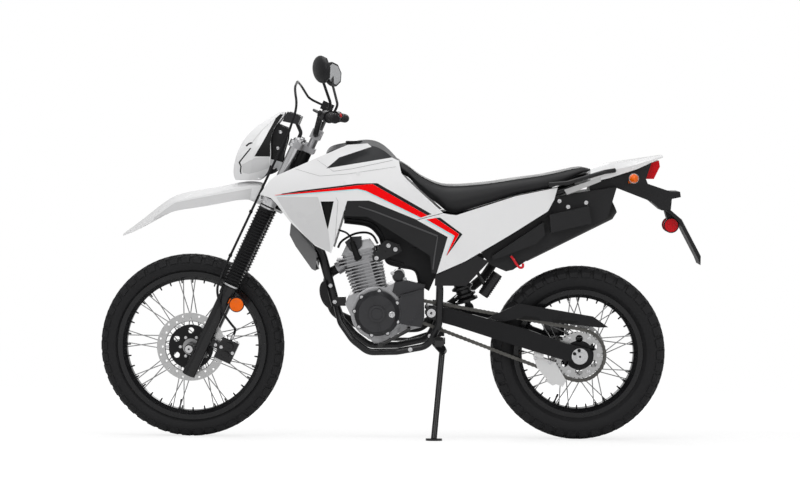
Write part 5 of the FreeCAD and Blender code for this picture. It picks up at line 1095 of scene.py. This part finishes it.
lamp_glass = finish_of("lamp_glass", (0.5, 0.51, 0.52), rough=0.1, grain=200.0, bump=0.02, coat=1.0)
dress(lamp_glass, "headlamp")
built("lamp_rim", pin_black, "steering", "black_plastic", prism(LAMP_TOP, -LAMP_HALF, LAMP_HALF),
      prism(LAMP_FOOT, -LAMP_HALF, LAMP_HALF), *paired(LAMP_SIDE, LAMP_HALF - 5.0, LAMP_HALF))
built(
    "lamp_ring", chrome, "steering", "lamp_glass",
    hoop([(-0.5, 29.0), (-0.5, 33.0), (1.4, 32.4), (1.4, 29.6)], LAMP_CENTRE, LAMP_WAY, 48),
    lathe([(-0.5, 12.0), (1.6, 11.4), (3.0, 8.0)], LAMP_CENTRE, LAMP_WAY, 32),
)


# Meter.
# A black moulded box behind the cowl, screwed to the upper clamp, with a dark glass that faces the
# rider.
METER_GLASS = [(357, 1224.2), (321, 1211.2), (320.6, 1212.6), (356.6, 1225.6)]

meter_black = finish_of("meter_black", (0.035, 0.035, 0.037), rough=0.4, grain=2200.0, bump=0.15)
dress(meter_black, "instrument")
built("meter_glass", pin_black, "steering", "lamp_glass", prism(METER_GLASS, -50, 50))


# Handlebar and grips.
# A braced steel bar, bent and painted black, with ribbed rubber grips pushed onto both ends.
BAR_TIP = np.array([-69.0, 400.0, 1010.0])
BAR_WAY = np.array([0.2951, -0.9533, -0.0636])
GRIP_RIB = [(-1.6, 16.2), (-0.8, 17.4), (0.8, 17.4), (1.6, 16.2)]
GRIP_END = [(-2.0, 14.5), (2.0, 15.8), (4.0, 15.8)]
BOTH_SIDES = (np.array([1.0, 1.0, 1.0]), np.array([1.0, -1.0, 1.0]))

dress(black_steel, "handlebar")
dress(boot_rubber, "grips")
built_on_fork(
    "grip_ribs", boot_rubber, "boot_rubber",
    *[hoop(GRIP_RIB, (BAR_TIP + reach * BAR_WAY) * flip, BAR_WAY * flip, 24)
      for reach in np.arange(10.0, 86.0, 6.0) for flip in BOTH_SIDES],
    *[lathe(GRIP_END, BAR_TIP * flip, BAR_WAY * flip, 24) for flip in BOTH_SIDES],
)


# Bar controls.
# Moulded switch housings clamped round the bar, with three buttons at the left and a red stop switch at
# the right, and cast levers on pins.
control_black = finish_of("control_black", (0.014, 0.014, 0.015), rough=0.4, grain=2200.0, bump=0.12)
dress(control_black, "bar_controls")
red_switch = finish_of("red_switch", (0.55, 0.01, 0.015), rough=0.3, grain=600.0, bump=0.05, coat=0.3)
built_on_fork("stop_switch", red_switch, "black_plastic",
              lathe([(-6.0, 8.0), (4.0, 8.0), (6.0, 6.5)], (-50, -284, 1014), (-0.75, 0.0, 0.66), 20))
built_on_fork("switch_buttons", meter_black, "black_plastic", *[
    lathe([(-5.0, 5.0), (3.0, 5.0), (4.0, 4.0)], (-52.0 + 4.0 * k, 270.0 + 12.0 * k, 1008.0 + 6.0 * k),
          (-0.8, 0.0, 0.6), 16) for k in range(3)])


# Mirrors.
# Eight-sided glass in black bowls on bent stems. The glass faces back and inwards, so the right one
# shows from the left.
MIRROR_HEAD = np.array([51.4, 374.6, 1145.0])
MIRROR_AXES = np.array([[0.7686, 0.4803, -0.4226], [-0.5299, 0.8480, 0.0], [0.3584, 0.2240, 0.9063]])


def mirror_plates(half_wide, half_high, depth, thick):
    """Eight-sided plates parallel to the bowls' flat faces, depth behind them, at both mirrors.

    corner = head - depth x + a cos t y + b sin t z, in the axes of the bowl
    """
    turn = np.radians(22.5 + 45.0 * np.arange(8))[:, None]
    away, across, high = MIRROR_AXES
    rings = np.stack([
        MIRROR_HEAD - level * away + half_wide * np.cos(turn) * across + half_high * np.sin(turn) * high
        for level in (depth, depth + thick)
    ])
    return [surface(rings * flip, around=True, capped=True) for flip in BOTH_SIDES]


dress(control_black, "mirrors")
mirror_glass = finish_of("mirror_glass", (0.55, 0.56, 0.57), rough=0.12, metal=0.35, grain=200.0, bump=0.01)
built_on_fork("mirror_rims", control_black, "black_plastic", *mirror_plates(57.0, 48.0, 4.0, 5.0), angle=25.0)
built_on_fork("mirror_glass", mirror_glass, "black_plastic", *mirror_plates(50.0, 41.0, 8.6, 1.2), angle=25.0)


# Front fender.
# A high fender of white plastic, moulded with a crease down each side and bolted under the lower clamp.
# Below each crease the side is painted a darker white as shade.
# One zinc bolt shows at the left.
FENDER_HALF = 82.0
FENDER_FACET_SHADE = (
    [(873, 832), (785, 888), (666, 911), (548, 933), (496, 942)],
    [(873, 819), (784, 857), (665, 878), (547, 899), (503, 898)],
)


def fender_side(x, z):
    """Half width a little outside the fender's side, the same all along it."""
    return np.full(np.shape(x), FENDER_HALF)


dress(white_plastic, "front_fender")
# Painted shade: the facet below each crease is the darker white.
pressed_on("fender_facet_shades", "front_fender", [FENDER_FACET_SHADE], fender_side, shaded_white, body="steering",
           thick=0.25)
zinc_bolts("fender_bolts", [(470, 62, 976)], (0.3, 0.9, 0.3), 4.0, "steering")


# Fuel tank.
# A pressed steel tank in dark grey grained paint, with a round filler cap of black steel behind the
# steering head.
FILLER_CAP = [(-6.0, 34.0), (1.0, 34.0), (2.4, 32.0), (1.6, 24.0), (2.6, 10.0)]

tank_paint = finish_of("tank_paint", (0.040, 0.041, 0.043), rough=0.36, grain=2200.0, bump=0.12, coat=0.15)
dress(tank_paint, "fuel_tank")
built("filler_cap", black_steel, "chassis", "black_steel", lathe(FILLER_CAP, (118, 0, 1117), (0.02, 0, 1), 40))


# Shrouds.
# White plastic panels beside the tank, painted with a black and a red stripe over a thin pale blue
# one, and moulded with creases and a flat facet behind the fork. The creases are drawn as thin grey lines
# of painted shade, and the facet is painted a darker white as shade.
SKIN_START, SKIN_STEP, SKIN_LAST = (540.0, 590.0), (120.0, 90.0), (9.999, 5.999)
SKIN_GAP = 4.0
SKIN_HALF = np.array([
    # half widths from z = 590 up to 1130, one row for each 120 mm from x = 540 back to -660
    (126, 134, 144, 158, 162, 150, 130), (130, 139, 151, 164, 166, 148, 120),
    (134, 144, 156, 168, 168, 142, 108), (138, 147, 158, 167, 161, 130, 92),
    (139, 145, 152, 156, 148, 120, 84), (140, 142, 143, 143, 137, 116, 82),
    (141, 140, 137, 133, 128, 112, 82), (140, 137, 133, 128, 123, 112, 84),
    (137, 134, 131, 127, 123, 112, 86), (133, 130, 128, 124, 120, 110, 86),
    (129, 127, 124, 120, 116, 108, 86),
], float)
SHROUD_STRIPES = {
    "red": ([(404, 921), (353, 927), (102, 959), (46, 964), (-156, 849)],
            [(397, 920), (352, 924), (101, 946), (70, 939), (-132, 841)]),
    "black": ([(378, 926.5), (312, 938), (102, 965), (29, 967), (-171, 854)],
              [(378, 924.6), (311, 932.6), (102, 959.5), (46, 964.5), (-156, 849.5)]),
    "blue": ([(396, 919.6), (352, 923.6), (101, 945.6), (70, 938.6), (-132, 840.6)],
             [(396, 917.4), (352, 920), (101, 942.6), (70, 935), (-131, 837)]),
}
SHROUD_FACET_SHADE = ([(396, 914), (245, 916), (206, 788), (199, 716)],
                [(396, 912), (350, 838), (268, 746), (203, 713)])
SHROUD_CREASE_SHADES = [
    ([(250, 1052), (190, 1010), (120, 1020), (-26, 1052)],
     [(249, 1050.6), (190, 1008.6), (120, 1018.6), (-26, 1050.6)]),
    ([(330, 1018), (240, 992), (140, 1000), (-40, 1028)], [(330, 1017), (240, 991), (140, 999), (-40, 1027)]),
    ([(180, 914), (172, 900), (186, 712)], [(178.8, 914), (170.8, 900), (185, 712)]),
]


def skin_side(x, z):
    """Half width of the body a little outside its panels: the table of sections, read between its rows.

    w = sum over the four neighbours of width times (1 - distance / step) in both directions
    """
    i = np.clip((SKIN_START[0] - x) / SKIN_STEP[0], 0.0, SKIN_LAST[0])
    j = np.clip((z - SKIN_START[1]) / SKIN_STEP[1], 0.0, SKIN_LAST[1])
    a, b = i.astype(int), j.astype(int)
    s, t = i - a, j - b
    low = SKIN_HALF[a, b] * (1 - s) + SKIN_HALF[a + 1, b] * s
    high = SKIN_HALF[a, b + 1] * (1 - s) + SKIN_HALF[a + 1, b + 1] * s
    return low * (1 - t) + high * t + SKIN_GAP


stripe_paints = {
    "red": finish_of("stripe_red", (0.95, 0.0, 0.002), rough=0.5, grain=400.0, bump=0.01, spec=0.1,
                     mottle=0.03),
    "black": finish_of("stripe_black", (0.009, 0.009, 0.010), rough=0.3, grain=400.0, bump=0.01, spec=0.3),
    "blue": finish_of("stripe_blue", (0.42, 0.80, 0.84), rough=0.5, grain=400.0, bump=0.01, spec=0.1,
                      mottle=0.03),
}
dress(white_plastic, "shrouds")
for colour, edges in SHROUD_STRIPES.items():
    pressed_on("shroud_" + colour, "shrouds", [edges], skin_side, stripe_paints[colour], along=90, across=5)
# Painted shade: thin grey lines in the creases.
crease_shade_grey = finish_of("crease_shade_grey", (0.30, 0.30, 0.305), rough=0.4, grain=300.0, bump=0.01)
# Painted shade: the facet behind the fork is the darker white.
pressed_on("shroud_facet_shade", "shrouds", [SHROUD_FACET_SHADE], skin_side, shaded_white, thick=0.25)
pressed_on("shroud_crease_shades", "shrouds", SHROUD_CREASE_SHADES, skin_side, crease_shade_grey, thick=0.3, across=2)


# Shroud inlays.
# Black plastic inlays: in the vent, and the wing behind each shroud, which leads air past the fork to
# the engine.
VENT = [(240, 902), (183, 902), (206, 790), (212, 790)]
WING = [(338, 842), (306, 768), (252, 706), (256, 640), (270, 646), (330, 730), (352, 772), (348, 812)]

wing_grey = finish_of("wing_grey", (0.16, 0.16, 0.162), rough=0.42, grain=2200.0, bump=0.1)
built("vent_inlays", pin_black, "chassis", "black_plastic", *paired(VENT, 140.0, 146.0))
built("inner_wings", wing_grey, "chassis", "black_plastic", *paired(WING, 112.0, 116.0))


# Side panels.
# White plastic panels below the seat with the shroud's stripes turned down over them, each on a zinc
# screw at its lower corner.
PANEL_STRIPES = {
    "red": ([(-186, 840), (-273, 781), (-228, 702)], [(-153, 834), (-257, 775), (-227, 703)]),
    "black": ([(-203, 841), (-285, 781), (-230, 704)], [(-187, 840), (-274, 781), (-229, 703)]),
    "blue": ([(-152, 833.6), (-256, 774.6), (-226, 704)], [(-147, 832), (-252, 772), (-225, 706)]),
}

dress(white_plastic, "side_panels")
for colour, edges in PANEL_STRIPES.items():
    pressed_on("panel_" + colour, "side_panels", [edges], skin_side, stripe_paints[colour], along=60, across=5)
built("panel_screws", zinc, "chassis", "silver_alloy",
      *bolts([(-230, 129, 676)], LEFT, 4.0), *bolts([(-230, -129, 676)], RIGHT, 4.0))


# Knee covers.
# Covers of grained black plastic between the panels and the frame, pushed into rubber eyes, each with a
# raised border, painted a lighter grey as a highlight where its rounded edge catches the light.
KNEE_BORDER_HIGHLIGHT = ([(96, 884), (36, 866), (-196, 776)], [(96, 880), (38, 861), (-193, 771)])
KNEE_TURN_HIGHLIGHT = ([(-196, 772), (-186, 702), (-180, 650)], [(-192, 770), (-181, 702), (-175, 650)])

cover_black = finish_of("cover_black", (0.019, 0.019, 0.020), rough=0.42, grain=2600.0, bump=0.25)
# Painted highlight: the border is a lighter grey where its edge catches the light.
border_highlight_grey = finish_of("border_highlight_grey", (0.075, 0.075, 0.077), rough=0.35, grain=2600.0, bump=0.2)
dress(cover_black, "knee_covers")
pressed_on("knee_border_highlight", "knee_covers", [KNEE_BORDER_HIGHLIGHT, KNEE_TURN_HIGHLIGHT], skin_side, border_highlight_grey, "black_plastic",
           thick=1.2, across=3)


# Loom tray and painted shade.
# A moulded tray of black plastic under the frame's top tube and behind the barrel, where the wiring
# lies. It also stands as painted shade: a dark plate that fills the shaded inside of the frame there.
# A round lip stiffens its open edge.
TRAY_TOP = [(158, 860), (56, 852), (-20, 806), (-116, 758), (-184, 706), (-186, 610), (-164, 560)]
TRAY_LIP = [
    (154, 816), (66, 803), (26, 768), (14, 738), (2, 690), (-12, 664), (-60, 650), (-112, 636), (-130, 580),
]

loom_and_shade_black = finish_of("loom_and_shade_black", (0.010, 0.010, 0.011), rough=0.5, grain=1800.0, bump=0.25)
# Painted shade: a dark plate for the shaded inside of the frame, with the wiring along it.
built(
    "loom_and_shade_tray", loom_and_shade_black, "chassis", "black_plastic",
    prism(TRAY_TOP + TRAY_LIP[::-1], 30.0, 36.0),
    tube([(x, 36.0, z) for x, z in TRAY_LIP], 5.0, 12, 80),
    tube([(x - 8, 37.0, z + 12) for x, z in TRAY_LIP[:7]], 4.0, 12, 60),
)


# Seat.
# One long foam cushion under black grained vinyl, stretched over a pan. Its top is crowned, its sides
# pull in between the edges, and a sewn seam runs along each shoulder.
SEAT_STEPS = 110
END_STEPS, END_PULL = 4.0, 0.16
SEAM_ROWS = slice(4, 106, 4)
SEAT_RINGS = np.array([
    # x, bottom, top, half width low, widest, at the shoulder
    (-50, 1000, 1049, 50, 62, 36), (-85, 984, 1026, 62, 76, 46), (-130, 938, 994, 76, 94, 60),
    (-190, 891, 967, 92, 110, 74), (-250, 857, 960, 104, 120, 86), (-365, 889, 968, 112, 130, 100),
    (-479, 925, 985, 110, 128, 98), (-565, 942, 997, 104, 122, 92), (-636, 960, 1011, 94, 112, 84),
    (-715, 1001, 1026, 78, 96, 72), (-756, 1014, 1023, 66, 80, 60),
], float)


def seat_ring(x, bottom, top, low, wide, shoulder):
    """Half section from the middle of the underside to the middle of the crowned top, as (y, z) points."""
    high = top - bottom
    return [
        (0.0, bottom), (low - 8.0, bottom + 0.5), (low, bottom + 0.05 * high),
        (wide - 5.0, bottom + 0.24 * high), (wide - 1.0, bottom + 0.46 * high),
        (0.5 * (wide + shoulder) + 2.0, bottom + 0.78 * high), (shoulder + 3.0, top - 0.09 * high),
        (shoulder - 4.0, top - 0.045 * high), (0.5 * shoulder, top - 0.01 * high), (0.0, top + 0.5),
    ]


seat_lines = smooth_line(SEAT_RINGS, SEAT_STEPS)
half_rings = np.stack([smooth_line(seat_ring(*row), 26) for row in seat_lines])
whole_rings = np.concatenate([half_rings, (half_rings * [-1.0, 1.0])[:, -2:0:-1]], axis=1)
seat_grid = np.insert(whole_rings, 0, seat_lines[:, :1], axis=2)
from_end = np.minimum(np.arange(SEAT_STEPS), np.arange(SEAT_STEPS)[::-1])
pull = np.clip(1.0 - from_end / END_STEPS, 0.0, 1.0) ** 2 * END_PULL
centres = seat_grid.mean(axis=1, keepdims=True)
seat_grid = centres + (seat_grid - centres) * (1.0 - pull)[:, None, None]
seat_vinyl = finish_of("seat_vinyl", (0.016, 0.016, 0.017), rough=0.46, grain=1500.0, bump=0.4, spec=0.24)
seat_cushion = built("seat_cushion", seat_vinyl, "chassis", "seat_vinyl",
                     surface(seat_grid, around=True, capped=True), replaces=("seat",), angle=60.0)
seam_black = finish_of("seam_black", (0.010, 0.010, 0.010), rough=0.5, grain=900.0, bump=0.2)
x, bottom, top, _, _, shoulder = seat_lines.T
shoulder_line = np.stack([x, shoulder + 2.0, top - 0.075 * (top - bottom)], axis=1)[SEAM_ROWS]
built("seat_seams", seam_black, "chassis", "seat_vinyl",
      *[tube(shoulder_line * flip, 1.5, 8, 90) for flip in BOTH_SIDES])


# Tail cowl.
# A white moulded cover round the end of the frame behind the seat, screwed to the rear tubes.
dress(white_plastic, "tail_cowl")


# Rear fender and plate holder.
# A long fender of black plastic under the tail, which carries the lamps and, on a flap, a blank plate
# of white sheet.
BLANK_PLATE = [(-1099.5, 836.0), (-1101.5, 837.0), (-1173.5, 702.0), (-1171.5, 701.0)]

fender_black = finish_of("fender_black", (0.016, 0.016, 0.017), rough=0.45, grain=2400.0, bump=0.2)
dress(fender_black, "rear_fender", "plate_holder")
plate_white = finish_of("plate_white", (0.6, 0.6, 0.6), rough=0.4, grain=500.0, bump=0.02)
built("blank_plate", plate_white, "chassis", "black_plastic", prism(BLANK_PLATE, -48.0, 48.0))


# Tail lamp and rear side reflectors.
# A lamp of red moulded plastic at the tip of the tail, and round red reflectors in black rims on an arm
# by the plate.
RED_RIM = [(0.0, 24.5), (0.0, 28.4), (7.5, 28.4), (8.9, 26.6), (8.2, 24.8)]

red_lens = finish_of("red_lens", (0.60, 0.002, 0.008), rough=0.18, grain=420.0, bump=0.3, coat=0.3, mottle=0.2,
                     spec=0.1)
dress(red_lens, "rear_reflectors", "tail_lamp")
built("red_rims", pin_black, "chassis", "black_plastic",
      *[hoop(RED_RIM, (-1066.0, side * 20.3, 812.0), (0, side, 0), 40) for side in (1, -1)])


# Rear indicators.
# Amber lenses in bright rims, on black cups at the ends of short stalks from the tail.
STALK_CUP = [(0.0, 10.5), (6.0, 13.5), (20.0, 17.4), (34.0, 18.2), (35.0, 17.4)]

dress(amber_lens, "rear_indicators")
built("indicator_rims", chrome, "chassis", "black_plastic",
      *[hoop(band(-3.0, 3.0, 16.4, 18.6), (-910, side * 138, 990), (0, side, 0)) for side in (1, -1)])
built("indicator_cups", control_black, "chassis", "black_plastic",
      *[lathe(STALK_CUP, (-909.0, side * 104.0, 986.0), (-0.02, side, 0.11), 28) for side in (1, -1)])


# Storage boxes.
# The air box and the tool boxes of grained black plastic, moulded in two halves and bolted to the rear
# tubes. A red hook for a strap hangs in front of them.
BOX_BOLTS = [(-672, 129, 884), (-738, 129, 900), (-640, 129, 905)]
STRAP_HOOK = [(-466, 92, 698), (-476, 93, 686), (-487, 94, 668), (-499, 95, 656), (-510, 95, 658),
              (-511, 95, 671)]

dress(cover_black, "storage_boxes")
zinc_bolts("box_bolts", BOX_BOLTS, LEFT, 6.0)
hook_red = finish_of("hook_red", (0.70, 0.01, 0.02), rough=0.35, grain=700.0, bump=0.05, coat=0.3)
built("strap_hook", hook_red, "chassis", "black_plastic", tube(STRAP_HOOK, 4.6, 12, 30))


# Grab rails.
# Bent steel rails beside the seat's tail, painted black, each on a plate of plain alloy.
RAIL_BRACKET = [(-657, 946), (-790, 994), (-792, 978), (-668, 928)]

dress(black_steel, "grab_rails")
built("rail_brackets", plain_alloy, "chassis", "silver_alloy", *paired(RAIL_BRACKET, 118.0, 122.0))
